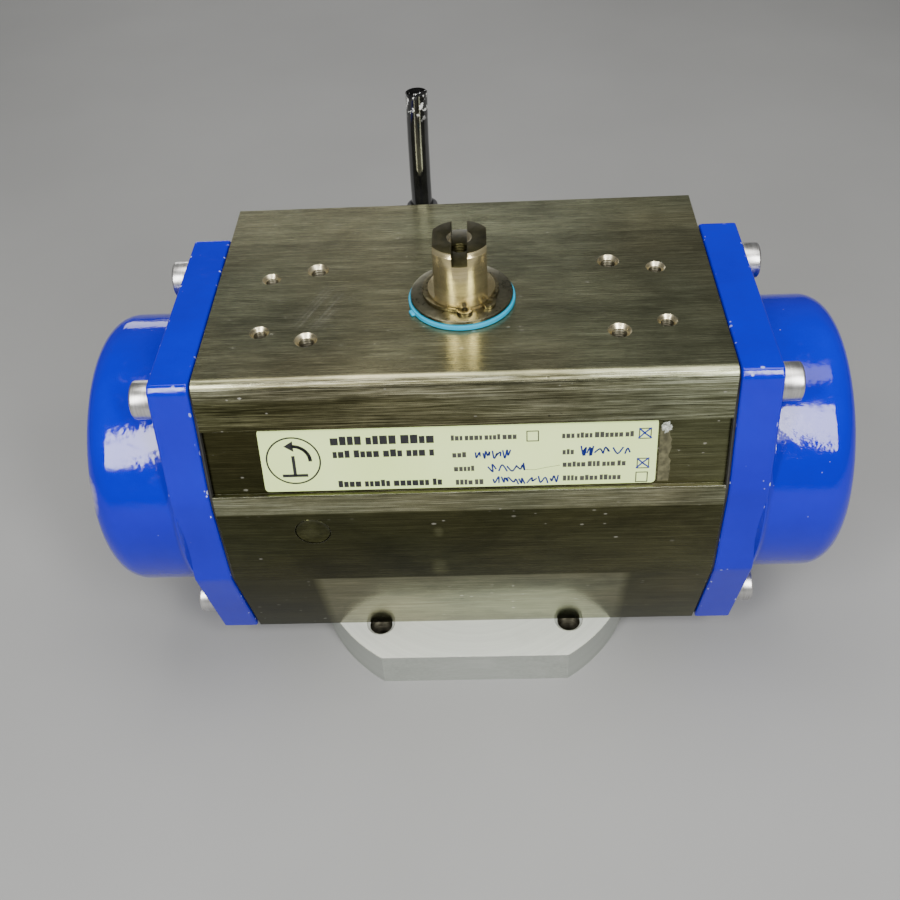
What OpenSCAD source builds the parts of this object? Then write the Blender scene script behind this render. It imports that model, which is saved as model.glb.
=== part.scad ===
// Spring-return rack-and-pinion quarter-turn actuator.
// Origin on the pinion axis at the underside of the mounting plate, X along the cylinder, Z up the shaft.

/* [Body] */
// length of the extruded body along X
body_length = 166; // [140:1:200]
// height of the top face above the plate's underside
top_height = 140; // [134:1:150]
// height of the cylinder axis
axis_height = 78; // [74:1:82]
// radius of the cylinder bore
bore_radius = 38; // [36:0.5:38.5]
// depth of the rear port block behind the pinion axis
rear_block_depth = 61.5; // [58:0.5:68]
// height of the underside of the rear port block
rear_block_base = 82; // [80:1:88]
// height of the top of the label recess
recess_top = 122.5; // [120:0.5:124]
// height of the lip under the label recess
recess_bottom = 98; // [96:0.5:100]
// depth of the label recess
recess_depth = 1.8; // [1:0.1:2.4]

/* [Mounting plate] */
// thickness of the mounting plate
plate_thickness = 15; // [12:0.5:18]
// radius of the round part of the plate
plate_radius = 63; // [60:0.5:68]
// distance of the front and rear flats from the axis
plate_flat = 52.4; // [50:0.2:56]
// pitch circle of the four valve screws
valve_pcd = 102; // [102:1:102]
// radius of the valve screw holes
valve_hole_radius = 4.25; // [4.2:0.05:5.2]
// radius of the centring recess
spigot_radius = 35; // [35:0.5:36]
// depth of the centring recess
spigot_depth = 3.5; // [3:0.1:4]

/* [End caps] */
// thickness of the cap flange
flange_thickness = 13; // [10:0.5:15]
// outer radius of the dome
dome_radius = 48.8; // [46:0.1:49]
// distance of the dome's end face from the pinion axis
dome_end = 126.8; // [120:0.2:135]
// fillet at the end of the dome
dome_fillet = 9; // [6:0.5:14]
// thickness of the gaskets
gasket_thickness = 0.8; // [0.5:0.1:1.5]
// spread of the upper cap screws along Y
upper_screw_y = 33.5; // [32:0.5:35]
// height of the upper cap screws
upper_screw_z = 129; // [127:0.5:130]
// spread of the lower cap screws along Y
lower_screw_y = 29.5; // [27:0.5:31]
// height of the lower cap screws
lower_screw_z = 26.5; // [25:0.5:29]

/* [Shaft and gear] */
// height of the shaft end
shaft_top = 163.5; // [158:0.5:170]
// radius of the output shaft
shaft_radius = 11; // [9.5:0.5:12]
// width across the shaft flats
shaft_flats = 17; // [16:0.2:19]
// width of the slot across the shaft end
slot_width = 5; // [4.2:0.1:6]
// gear module
gear_module = 2; // [2:1:2]
// number of pinion teeth
gear_teeth = 14; // [14:1:14]
// width across flats of the double-square drive socket
drive_flats = 22; // [19:1:22]

/* [Fitting] */
// distance of each port from the middle along X
port_x = 16; // [14:0.5:20]
// height of the ports
port_z = 104; // [100:0.5:108]
// distance of the hose from the axis along Y
hose_y = 77; // [75:0.5:82]
// outer radius of the hose
hose_radius = 4; // [4:0.5:4]

/* [Hidden] */
$fn = 96;
eps = 0.01;
half_body = body_length / 2;
cap_start = half_body + gasket_thickness;
cap_face = cap_start + flange_thickness;

// front and rear outline of the body
body_front_top = 41.2;
body_front_lip = 47.8;
body_front_wide = 48.9;
body_front_base = 35.5;
corner_radius = 4;
recess_y_top = 42.7 - recess_depth;
recess_y_bottom = body_front_lip - recess_depth;

// end cap outline
cap_top_y = 41.4;
// the same at the rear edge
cap_rear_y = 43.8;
cap_wide_y = 49.6;
cap_base_y = 36.4;
cap_wide_top = 96;
cap_wide_bottom = 59;
cap_cavity_radius = 41;
cap_wall = 7.3;

// gear
pitch_radius = gear_module * gear_teeth / 2;
tip_radius = pitch_radius + gear_module;
root_radius = pitch_radius - 1.1 * gear_module;
pressure_angle = 20;
base_radius = pitch_radius * cos(pressure_angle);
tooth_pitch = PI * gear_module;
backlash = 0.16;
rack_addendum = 0.8 * gear_module;
rack_dedendum = 1.2 * gear_module;
gear_bottom = 62;
gear_top = 94;

// pinion journals
lower_journal = 20;
upper_journal = 13.5;
lower_bore = 22.5;
upper_bore = 16;
pinion_base = 4;
socket_depth = 24;
fit_gap = 0.05;

// pistons at rest
piston_inner = 38;
piston_outer = 58;
piston_radius = bore_radius - fit_gap;
rack_end = 30;
rack_half_height = 12;
rack_back = 34;
spring_pocket = 6;
spring_seat = piston_outer - spring_pocket;
spring_far = dome_end - cap_wall;

// hardware
cap_screw_shank = 4;
cap_screw_head = 6.2;
cap_screw_head_height = 7.4;
cap_screw_length = 30;
plate_screw_x = 46;
plate_screw_y = 20;
washer_base = top_height;
port_radius = 5.72;
port_depth = 12;
channel_y = 33.5;
channel_z = 108;
channel_radius = 2.5;
elbow_top = 127.5;
collet_top = 131;

module along_x() {
    rotate([90, 0, 90]) children();
}

module mirrored(left) {
    if (left) mirror([1, 0, 0]) children();
    else children();
}

function arc_points(c, r, a0, a1, n) = [
    for (i = [0:n]) let (a = a0 + (a1 - a0) * i / n) [c[0] + r * cos(a), c[1] + r * sin(a)]
];

// body outline in Y and Z, seen along -X
body_outline = concat(
    [
        [-body_front_base, plate_thickness],
        [body_front_base, plate_thickness],
        [body_front_wide - 0.6, 57],
        [body_front_wide, 72],
        [rear_block_depth - 1, rear_block_base],
        [rear_block_depth, rear_block_base + 1],
        [rear_block_depth, top_height - 0.8],
        [rear_block_depth - 0.8, top_height],
    ],
    arc_points([-body_front_top + corner_radius, top_height - corner_radius], corner_radius, 90, 187, 8),
    [
        [-42.7, recess_top],
        [-recess_y_top, recess_top],
        [-recess_y_bottom, recess_bottom],
        [-body_front_lip + 0.3, recess_bottom],
        [-body_front_lip - 0.2, recess_bottom - 0.7],
        [-body_front_wide, 91],
        [-body_front_wide + 0.6, 57],
    ]
);

function cap_outline(g) = [
    [-cap_base_y + g, plate_thickness + 0.6 + g],
    [cap_base_y - g, plate_thickness + 0.6 + g],
    [cap_wide_y - 0.8 - g, cap_wide_bottom - 3],
    [cap_wide_y - g, cap_wide_bottom],
    [cap_wide_y - g, cap_wide_top - 1],
    [cap_wide_y - 0.5 - g, cap_wide_top + 3],
    [cap_rear_y - g, top_height - 2.4 - g],
    [cap_rear_y - 1.9 - g, top_height - 0.5 - g],
    [-cap_top_y + 1.9 + g, top_height - 0.5 - g],
    [-cap_top_y + g, top_height - 2.4 - g],
    [-cap_wide_y + 0.5 + g, cap_wide_top + 3],
    [-cap_wide_y + g, cap_wide_top - 1],
    [-cap_wide_y + g, cap_wide_bottom],
    [-cap_wide_y + 0.8 + g, cap_wide_bottom - 3],
];

module cap_screw_places() {
    for (s = [-1, 1]) {
        translate([s * upper_screw_y, upper_screw_z]) children();
        translate([s * lower_screw_y, lower_screw_z]) children();
    }
}

module top_hole(x, y, r, depth) {
    for (sx = [-1, 1], sy = [-1, 1]) translate([sx * x, sy * y, 0]) {
        translate([0, 0, top_height - depth]) cylinder(h = depth + 1, r = r);
        translate([0, 0, top_height - 0.8]) cylinder(h = 0.8 + eps, r1 = r, r2 = r + 0.8);
    }
}

module port(x) {
    translate([x, rear_block_depth - port_depth, port_z]) rotate([-90, 0, 0])
        cylinder(h = port_depth + 1, r = port_radius);
    translate([x, rear_block_depth - 1.2, port_z]) rotate([-90, 0, 0])
        cylinder(h = 1.2 + eps, r1 = port_radius, r2 = port_radius + 1.2);
}

module body() {
    color([0.42, 0.41, 0.38]) difference() {
        translate([-half_body, 0, 0]) along_x() linear_extrude(body_length) polygon(body_outline);
        translate([-half_body - 1, 0, axis_height]) rotate([0, 90, 0])
            cylinder(h = body_length + 2, r = bore_radius, $fn = 160);
        // pinion bores
        translate([0, 0, axis_height]) cylinder(h = top_height, r = upper_bore);
        translate([0, 0, 0]) cylinder(h = axis_height, r = lower_bore);
        // accessory threads in the top face
        top_hole(65, 15, 2.1, 10);
        top_hole(49.5, 19.5, 2.5, 12);
        // cap screw threads
        for (s = [0, 1]) mirrored(s == 1) translate([half_body - 22, 0, 0]) along_x() linear_extrude(23)
            cap_screw_places() circle(r = cap_screw_shank + 0.1, $fn = 32);
        // plate screw threads
        for (sx = [-1, 1], sy = [-1, 1])
            translate([sx * plate_screw_x, sy * plate_screw_y, plate_thickness - 1])
            cylinder(h = 15, r = 4.1, $fn = 32);
        // air ports, the cross drilling to the middle chamber and the long channel to both end chambers
        port(-port_x);
        port(port_x);
        translate([port_x, 28, port_z - 4]) rotate([-90, 0, 0])
            cylinder(h = 24, r = channel_radius, $fn = 32);
        translate([-port_x, channel_y, port_z + 2]) rotate([-90, 0, 0])
            cylinder(h = 18, r = channel_radius, $fn = 32);
        translate([-half_body - 1, channel_y, channel_z]) rotate([0, 90, 0])
            cylinder(h = body_length + 2, r = channel_radius, $fn = 32);
        // plugged drilling in the front face
        translate([-52, -52, 82]) rotate([-90, 0, 0]) cylinder(h = 9, r = 6, $fn = 48);
    }
}

module mounting_plate() {
    color([0.75, 0.76, 0.77]) difference() {
        intersection() {
            cylinder(h = plate_thickness, r = plate_radius, $fn = 180);
            translate([-plate_radius - 1, -plate_flat, -1])
                cube([2 * plate_radius + 2, 2 * plate_flat, plate_thickness + 2]);
        }
        translate([0, 0, -1]) cylinder(h = plate_thickness + 2, r = lower_journal + 0.6);
        translate([0, 0, -1]) cylinder(h = spigot_depth + 1, r = spigot_radius);
        for (a = [45:90:315]) rotate([0, 0, a]) translate([valve_pcd / 2, 0, 0]) {
            translate([0, 0, -1]) cylinder(h = plate_thickness + 2, r = valve_hole_radius, $fn = 48);
            translate([0, 0, plate_thickness - 1])
                cylinder(h = 1 + eps, r1 = valve_hole_radius, r2 = valve_hole_radius + 1);
        }
        for (sx = [-1, 1], sy = [-1, 1]) translate([sx * plate_screw_x, sy * plate_screw_y, -1]) {
            cylinder(h = 10, r = 7, $fn = 48);
            cylinder(h = plate_thickness + 2, r = 4.5, $fn = 48);
        }
    }
}

module socket_screw(head_r, head_h, shank_r, length, hex) {
    difference() {
        union() {
            rotate_extrude()
                polygon([[0, 0], [head_r, 0], [head_r, head_h - 0.7], [head_r - 0.7, head_h], [0, head_h]]);
            translate([0, 0, -length]) cylinder(h = length + eps, r = shank_r, $fn = 48);
        }
        translate([0, 0, head_h / 2]) cylinder(h = head_h, r = hex / sqrt(3), $fn = 6);
    }
}

module plate_screws() {
    color([0.35, 0.35, 0.36]) for (sx = [-1, 1], sy = [-1, 1])
        translate([sx * plate_screw_x, sy * plate_screw_y, 9]) mirror([0, 0, 1])
            socket_screw(6.5, 8, 4, 18, 6);
}

module end_cap() {
    difference() {
        union() {
            translate([cap_start, 0, 0]) along_x() linear_extrude(flange_thickness)
                polygon(cap_outline(0));
            translate([cap_face - 1, 0, axis_height]) rotate([0, 90, 0]) rotate_extrude($fn = 160)
                union() {
                square([dome_radius, dome_end - dome_fillet - cap_face + 1]);
                square([dome_radius - dome_fillet, dome_end - cap_face + 1]);
                translate([dome_radius - dome_fillet, dome_end - dome_fillet - cap_face + 1])
                    circle(r = dome_fillet, $fn = 64);
            }
        }
        translate([cap_start - 1, 0, axis_height]) rotate([0, 90, 0])
            cylinder(h = dome_end - cap_wall - cap_start + 1, r = cap_cavity_radius, $fn = 160);
        translate([cap_start - 1, 0, 0]) along_x() linear_extrude(flange_thickness + 2)
            cap_screw_places() circle(r = cap_screw_shank + 0.5, $fn = 48);
        // pocket that leads the channel into the cap
        translate([cap_start - 1, channel_y, channel_z]) rotate([0, 90, 0])
            cylinder(h = 6, r = 3, $fn = 32);
        translate([cap_start - 1, channel_y - 8, channel_z - 8]) cube([6, 8, 8]);
    }
}

module left_end_cap() {
    color([0.05, 0.1, 0.75]) mirrored(true) end_cap();
}

module right_end_cap() {
    color([0.05, 0.1, 0.75]) end_cap();
}

module cap_screws() {
    for (s = [-1, 1]) {
        translate([cap_face, s * upper_screw_y, upper_screw_z]) rotate([0, 90, 0])
            socket_screw(cap_screw_head, cap_screw_head_height, cap_screw_shank, cap_screw_length, 6);
        translate([cap_face, s * lower_screw_y, lower_screw_z]) rotate([0, 90, 0])
            socket_screw(cap_screw_head, cap_screw_head_height, cap_screw_shank, cap_screw_length, 6);
    }
}

module left_cap_screws() {
    color([0.78, 0.77, 0.74]) mirrored(true) cap_screws();
}

module right_cap_screws() {
    color([0.78, 0.77, 0.74]) cap_screws();
}

module gasket() {
    translate([half_body, 0, 0]) along_x() linear_extrude(gasket_thickness) difference() {
        polygon(cap_outline(1.4));
        translate([0, axis_height]) circle(r = bore_radius + 1, $fn = 160);
        cap_screw_places() circle(r = cap_screw_shank + 0.5, $fn = 48);
        translate([channel_y, channel_z]) circle(r = channel_radius + 0.5, $fn = 32);
    }
}

module left_gasket() {
    color([0.08, 0.08, 0.08]) mirrored(true) gasket();
}

module right_gasket() {
    color([0.08, 0.08, 0.08]) gasket();
}

module sleeve(z, h, inner, outer) {
    translate([0, 0, z]) difference() {
        cylinder(h = h, r = outer);
        translate([0, 0, -1]) cylinder(h = h + 2, r = inner);
    }
}

module top_bearing() {
    color([0.85, 0.83, 0.75]) sleeve(118, 21.2, upper_journal + fit_gap, upper_bore - fit_gap);
}

module bottom_bearing() {
    color([0.85, 0.83, 0.75])
        sleeve(plate_thickness + 0.2, 24, lower_journal + fit_gap, lower_bore - fit_gap);
}

module thrust_washer() {
    color([0.1, 0.55, 0.85]) {
        sleeve(washer_base, 1.6, shaft_radius + 0.4, 17.5);
        translate([0, 0, washer_base]) rotate([0, 0, 203]) translate([15.5, -1.6, 0])
            cube([3.4, 3.2, 1.2]);
    }
}

module steel_washer() {
    color([0.6, 0.58, 0.55]) sleeve(washer_base + 1.7, 1.3, shaft_radius + 0.2, 16.8);
}

module circlip() {
    color([0.5, 0.48, 0.45]) translate([0, 0, washer_base + 3.1]) rotate([0, 0, -64]) difference() {
        union() {
            difference() {
                translate([-0.9, 0, 0]) cylinder(h = 1.2, r = 12.6);
                translate([0, 0, -1]) cylinder(h = 4, r = shaft_radius - 0.55);
            }
            for (s = [-1, 1]) rotate([0, 0, s * 21]) translate([11.6, 0, 0])
                cylinder(h = 1.2, r = 2.6, $fn = 32);
        }
        translate([0, 0, -1]) cylinder(h = 4, r = shaft_radius - 0.55);
        translate([8, -2.2, -1]) cube([8, 4.4, 4]);
        for (s = [-1, 1]) rotate([0, 0, s * 21]) translate([11.9, 0, -1])
            cylinder(h = 4, r = 1, $fn = 24);
    }
}

// side of one pinion tooth at radius r, as half its angle
function involute(r) = let (a = acos(min(1, base_radius / r))) tan(a) * 180 / PI - a;

function half_tooth(r) =
    90 / gear_teeth - backlash / pitch_radius * 90 / PI + involute(pitch_radius)
        - involute(max(r, base_radius));

flank = [root_radius, base_radius, 13.5, 14, 14.5, 15, 15.5, tip_radius];

function tooth(a) = concat(
    [for (r = flank) [r * cos(a - half_tooth(r)), r * sin(a - half_tooth(r))]],
    [
        for (i = [len(flank) - 1:-1:0])
            let (r = flank[i])
                [r * cos(a + half_tooth(r)), r * sin(a + half_tooth(r))]
    ]
);

gear_outline = [for (t = [0:gear_teeth - 1]) each tooth(-90 + t * 360 / gear_teeth)];

module pinion() {
    color([0.62, 0.6, 0.55]) difference() {
        union() {
            translate([0, 0, pinion_base]) cylinder(h = gear_bottom - 2 - pinion_base, r = lower_journal);
            translate([0, 0, gear_bottom - 3])
                cylinder(h = gear_top - gear_bottom + 6, r = root_radius - 0.4);
            translate([0, 0, gear_bottom]) linear_extrude(gear_top - gear_bottom) polygon(gear_outline);
            translate([0, 0, gear_top + 2])
                cylinder(h = top_height - 0.6 - gear_top - 2, r = upper_journal);
            translate([0, 0, top_height - 2])
                cylinder(h = shaft_top - top_height + 0.8, r = shaft_radius);
            translate([0, 0, shaft_top - 1.2 - eps])
                cylinder(h = 1.2 + eps, r1 = shaft_radius, r2 = shaft_radius - 1.2);
        }
        // double-square drive socket
        for (a = [0, 45]) rotate([0, 0, a])
            translate([-drive_flats / 2, -drive_flats / 2, pinion_base - 1])
            cube([drive_flats, drive_flats, socket_depth + 1]);
        // seal grooves and circlip groove
        ring_groove(124, 3.2, upper_journal, 2.5);
        ring_groove(30, 3.6, lower_journal, 2.9);
        ring_groove(washer_base + 3, 1.4, shaft_radius, 0.6);
        // shaft end
        for (s = [-1, 1]) translate([s * (shaft_flats / 2 + 5), 0, shaft_top - 7])
            cube([10, 30, 22], center = true);
        translate([-slot_width / 2, -15, shaft_top - 4]) cube([slot_width, 30, 6]);
        translate([0, 0, shaft_top - 16]) cylinder(h = 18, r = 2.5, $fn = 48);
        translate([0, 0, shaft_top - 1.5]) cylinder(h = 1.5 + eps, r1 = 2.5, r2 = 4);
    }
}

module ring_groove(z, h, r, depth) {
    translate([0, 0, z]) difference() {
        cylinder(h = h, r = r + 2);
        translate([0, 0, -1]) cylinder(h = h + 2, r = r - depth);
    }
}

module oring(mid_radius, section) {
    rotate_extrude() translate([mid_radius, 0]) circle(r = section, $fn = 32);
}

module pinion_upper_oring() {
    color([0.07, 0.07, 0.07]) translate([0, 0, 125.6]) oring(upper_journal - 1.25, 1.22);
}

module pinion_lower_oring() {
    color([0.07, 0.07, 0.07]) translate([0, 0, 31.8]) oring(lower_journal - 1.45, 1.42);
}

// one rack, teeth toward +Y, with a tooth space centred on x = 0
module rack_outline() {
    half_gap = tooth_pitch / 4 + backlash / 4;
    lean = tan(pressure_angle);
    difference() {
        translate([-rack_end, -rack_back])
            square([rack_end + piston_inner + 1, rack_back - pitch_radius + rack_addendum]);
        for (i = [-4:2]) translate([i * tooth_pitch, -pitch_radius]) polygon([
            [-half_gap + rack_dedendum * lean, -rack_dedendum],
            [half_gap - rack_dedendum * lean, -rack_dedendum],
            [half_gap + (rack_addendum + 0.5) * lean, rack_addendum + 0.5],
            [-half_gap - (rack_addendum + 0.5) * lean, rack_addendum + 0.5],
        ]);
        translate([2.5 * tooth_pitch - 0.4, -pitch_radius - rack_dedendum]) square([piston_inner, 10]);
        translate([-rack_end - 1, -pitch_radius - rack_dedendum])
            square([rack_end + 1 - 4.5 * tooth_pitch + 0.4, 10]);
    }
}

module piston_shape() {
    difference() {
        union() {
            translate([piston_inner, 0, axis_height]) rotate([0, 90, 0])
                cylinder(h = piston_outer - piston_inner, r = piston_radius, $fn = 160);
            intersection() {
                translate([0, 0, axis_height - rack_half_height]) linear_extrude(2 * rack_half_height)
                    rack_outline();
                translate([-rack_end - 1, 0, axis_height]) rotate([0, 90, 0])
                    cylinder(h = rack_end + piston_inner + 3, r = rack_back, $fn = 160);
            }
            translate([piston_inner - 8, -rack_back + 7, axis_height - 3]) cube([9, 16, 6]);
        }
        translate([piston_outer - spring_pocket, 0, axis_height]) rotate([0, 90, 0])
            cylinder(h = 10, r = 30, $fn = 120);
        translate([0, 0, axis_height]) rotate([0, 90, 0]) {
            ring_groove(48, 4.2, piston_radius, 3.6);
            ring_groove(40, 6.2, piston_radius, 1.9);
        }
    }
    // centring collar for the springs
    translate([spring_seat - 1, 0, axis_height]) rotate([0, 90, 0]) difference() {
        cylinder(h = 5, r = 22.6);
        translate([0, 0, -1]) cylinder(h = 7, r = 18.6);
    }
}

module piston_oring_shape() {
    translate([50.1, 0, axis_height]) rotate([0, 90, 0]) rotate_extrude($fn = 120)
        translate([bore_radius - 1.8, 0]) circle(r = 1.75, $fn = 24);
}

module guide_ring_shape() {
    translate([40.1, 0, axis_height]) rotate([0, 90, 0]) difference() {
        cylinder(h = 6, r = bore_radius - 0.03, $fn = 160);
        translate([0, 0, -1]) cylinder(h = 8, r = piston_radius - 1.85, $fn = 160);
        translate([0, -bore_radius, 3]) rotate([40, 0, 0]) cube([6, 6, 1], center = true);
    }
}

module rack_pad_shape() {
    difference() {
        intersection() {
            translate([-25, 0, axis_height]) rotate([0, 90, 0])
                cylinder(h = 34, r = bore_radius - fit_gap, $fn = 160);
            translate([-26, -bore_radius, axis_height - 9]) cube([40, 20, 18]);
        }
        translate([-26, 0, axis_height]) rotate([0, 90, 0])
            cylinder(h = 42, r = rack_back + 0.05, $fn = 160);
    }
}

// the left-hand set is the right-hand set turned half a turn about the pinion axis
module left_piston() {
    color([0.7, 0.7, 0.72]) rotate([0, 0, 180]) piston_shape();
}

module right_piston() {
    color([0.7, 0.7, 0.72]) piston_shape();
}

module left_piston_oring() {
    color([0.07, 0.07, 0.07]) rotate([0, 0, 180]) piston_oring_shape();
}

module right_piston_oring() {
    color([0.07, 0.07, 0.07]) piston_oring_shape();
}

module left_guide_ring() {
    color([0.9, 0.88, 0.82]) rotate([0, 0, 180]) guide_ring_shape();
}

module right_guide_ring() {
    color([0.9, 0.88, 0.82]) guide_ring_shape();
}

module left_rack_pad() {
    color([0.9, 0.88, 0.82]) rotate([0, 0, 180]) rack_pad_shape();
}

module right_rack_pad() {
    color([0.9, 0.88, 0.82]) rack_pad_shape();
}

// coil along X from x0 to x1 with one closed turn at each end
module coil(x0, x1, mid, wire, turns, per_turn) {
    n = turns * per_turn;
    sides = 8;
    inner = x1 - x0 - 2 * wire;
    close = 2.15 * wire;
    function coil_x(t) =
        t < 1 ? close * t :
        t > turns - 1 ? inner - close * (turns - t) :
        close + (inner - 2 * close) * (t - 1) / (turns - 2);
    pts = [
        for (i = [0:n], j = [0:sides - 1])
            let (t = i / per_turn, a = 360 * t, b = 360 * j / sides, r = mid + wire * cos(b))
                [x0 + wire + coil_x(t) + wire * sin(b), r * cos(a), axis_height + r * sin(a)]
    ];
    walls = [
        for (i = [0:n - 1], j = [0:sides - 1])
            let (k = (j + 1) % sides)
                [i * sides + j, i * sides + k, (i + 1) * sides + k, (i + 1) * sides + j]
    ];
    polyhedron(
        pts,
        concat([[for (j = [sides - 1:-1:0]) j]], walls, [[for (j = [0:sides - 1]) n * sides + j]])
    );
}

module outer_coil() {
    coil(spring_seat + 0.1, spring_far - 0.1, 26.2, 2.2, 7, 16);
}

module inner_coil() {
    coil(spring_seat + 0.1, spring_far - 0.1, 15.6, 1.6, 9, 14);
}

module left_outer_spring() {
    color([0.3, 0.32, 0.35]) rotate([0, 0, 180]) outer_coil();
}

module right_outer_spring() {
    color([0.3, 0.32, 0.35]) outer_coil();
}

module left_inner_spring() {
    color([0.36, 0.36, 0.38]) rotate([0, 0, 180]) inner_coil();
}

module right_inner_spring() {
    color([0.36, 0.36, 0.38]) inner_coil();
}

// sticker in the recess
label_lean = atan((recess_y_bottom - recess_y_top) / (recess_top - recess_bottom));
label_height = 23.6;

module label() {
    color([0.85, 0.9, 0.82]) translate([0, -recess_y_bottom, recess_bottom]) rotate([-label_lean, 0, 0])
        translate([-65.5, -0.22, 0.7]) cube([126, 0.2, label_height]);
}

module channel_plug() {
    color([0.35, 0.34, 0.31]) translate([-52, -48.7, 82]) rotate([-90, 0, 0])
        cylinder(h = 5.6, r = 5.95, $fn = 48);
}

module elbow_fitting() {
    color([0.12, 0.12, 0.13]) difference() {
        union() {
            translate([-port_x, rear_block_depth - port_depth + 1, port_z]) rotate([-90, 0, 0])
                cylinder(h = port_depth - 1 + 2, r = port_radius - 0.1, $fn = 48);
            translate([-port_x, rear_block_depth + 1.5, port_z]) rotate([-90, 0, 0])
                cylinder(h = 5, r = 15 / sqrt(3), $fn = 6);
            translate([-port_x, rear_block_depth + 6, port_z]) rotate([-90, 0, 0])
                cylinder(h = hose_y - rear_block_depth - 6, r = 6.6, $fn = 64);
            translate([-port_x, hose_y, port_z]) sphere(r = 7.4, $fn = 64);
            translate([-port_x, hose_y, port_z]) cylinder(h = elbow_top - port_z, r = 7, $fn = 64);
        }
        translate([-port_x, 40, port_z]) rotate([-90, 0, 0]) cylinder(h = hose_y - 40, r = 2.8, $fn = 32);
        translate([-port_x, hose_y, port_z]) cylinder(h = 8, r = 2.8, $fn = 32);
        translate([-port_x, hose_y, port_z + 7]) cylinder(h = 40, r = hose_radius + 0.1, $fn = 48);
        translate([-port_x, hose_y, port_z + 9.5]) cylinder(h = 2.4, r = 5.9, $fn = 48);
        translate([-port_x, hose_y, port_z + 13]) cylinder(h = 40, r = 5.2, $fn = 48);
    }
}

module fitting_seal() {
    color([0.1, 0.1, 0.1]) translate([-port_x, rear_block_depth, port_z]) rotate([-90, 0, 0])
        difference() {
        cylinder(h = 1.5, r = 8.4, $fn = 64);
        translate([0, 0, -1]) cylinder(h = 4, r = port_radius + 0.05, $fn = 64);
    }
}

module tube_seal() {
    color([0.07, 0.07, 0.07]) translate([-port_x, hose_y, port_z + 10.7]) oring(hose_radius + 0.95, 0.9);
}

module release_collet() {
    color([0.1, 0.1, 0.11]) translate([-port_x, hose_y, 0]) difference() {
        union() {
            translate([0, 0, port_z + 14.5]) cylinder(h = collet_top - port_z - 15, r = 5.1, $fn = 48);
            translate([0, 0, collet_top - 2]) cylinder(h = 2, r = 5.9, $fn = 48);
        }
        translate([0, 0, port_z + 10]) cylinder(h = 40, r = hose_radius + 0.1, $fn = 48);
    }
}

// hose path upward from inside the fitting
hose_path = [
    [-16, 77, 112], [-16, 77, 120], [-16, 77, 128], [-16, 77, 134], [-16, 77.1, 142],
    [-15.9, 77.3, 150], [-15.8, 77.5, 158], [-15.6, 77.8, 166], [-15.4, 78.2, 172], [-15.3, 78.5, 177],
];

module air_hose() {
    sides = 12;
    last = len(hose_path) - 1;
    pts = [
        for (i = [0:last], j = [0:sides - 1])
            let (a = 360 * j / sides)
                hose_path[i] + [(hose_radius - 0.02) * cos(a), (hose_radius - 0.02) * sin(a), 0]
    ];
    walls = [
        for (i = [0:last - 1], j = [0:sides - 1])
            let (k = (j + 1) % sides)
                [i * sides + k, i * sides + j, (i + 1) * sides + j, (i + 1) * sides + k]
    ];
    color([0.04, 0.04, 0.04]) polyhedron(
        pts,
        concat([[for (j = [0:sides - 1]) j]], walls, [[for (j = [sides - 1:-1:0]) last * sides + j]])
    );
}

body();
mounting_plate();
plate_screws();
left_end_cap();
right_end_cap();
left_cap_screws();
right_cap_screws();
left_gasket();
right_gasket();
top_bearing();
bottom_bearing();
thrust_washer();
label();
channel_plug();
pinion();
steel_washer();
circlip();
pinion_upper_oring();
pinion_lower_oring();
left_piston();
right_piston();
left_piston_oring();
right_piston_oring();
left_guide_ring();
right_guide_ring();
left_rack_pad();
right_rack_pad();
left_outer_spring();
right_outer_spring();
left_inner_spring();
right_inner_spring();
elbow_fitting();
fitting_seal();
tube_seal();
release_collet();
air_hose();
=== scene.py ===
"""Quarter-turn pneumatic actuator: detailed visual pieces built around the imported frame."""
import bpy
import bmesh
import math
import random
from mathutils import Matrix, Vector


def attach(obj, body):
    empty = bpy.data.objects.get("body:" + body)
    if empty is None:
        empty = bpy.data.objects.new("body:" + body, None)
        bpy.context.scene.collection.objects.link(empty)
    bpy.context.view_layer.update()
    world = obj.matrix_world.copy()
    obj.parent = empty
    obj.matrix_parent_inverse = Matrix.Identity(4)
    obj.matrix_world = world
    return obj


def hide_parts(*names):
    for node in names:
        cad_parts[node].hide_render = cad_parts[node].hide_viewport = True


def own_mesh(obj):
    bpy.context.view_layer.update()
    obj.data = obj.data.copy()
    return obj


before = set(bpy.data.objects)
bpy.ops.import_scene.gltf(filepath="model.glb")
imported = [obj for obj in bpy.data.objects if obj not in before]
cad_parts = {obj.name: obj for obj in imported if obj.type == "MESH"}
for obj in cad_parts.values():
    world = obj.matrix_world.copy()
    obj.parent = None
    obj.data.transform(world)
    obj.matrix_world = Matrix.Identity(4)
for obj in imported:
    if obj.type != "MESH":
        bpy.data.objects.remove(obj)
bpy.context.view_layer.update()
random.seed(7)
MM = 0.001
PI = math.pi

# sizes in millimetres, as in the frame
AXIS_Z = 78.0  # cylinder axis
HALF = 83.0  # half length of the body
TOP = 140.0
CAP0 = 83.8  # the cap's flange runs from here
CAP1 = 96.8  # to here, then the dome
DOME_R = 48.8
DOME_END = 126.8
SHAFT_TOP = 163.5
SHAFT_R = 11.0
WASHER_Z = 140.0
CLIP_Z = 143.1
PORT_X = 16.0
PORT_Z = 104.0
REAR = 61.5
HOSE_Y = 77.0
PLUG_X, PLUG_Z = -52.0, 82.0
CHANNEL_Y, CHANNEL_Z = 33.5, 108.0
RECESS_LOW, RECESS_HIGH = (-46.0, 98.0), (-40.9, 122.5)

# hole and screw places: half distances from the middle, or (y, z) for the caps
TOP_HOLES_M5 = (65, 15)
TOP_HOLES_M6 = (49.5, 19.5)
PLATE_SCREWS = (46, 20)
CAP_SCREWS = ((33.5, 129), (29.5, 26.5))
BOLT_CIRCLE_R = 51
CORNERS = [(sx, sy) for sx in (-1, 1) for sy in (-1, 1)]


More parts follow.
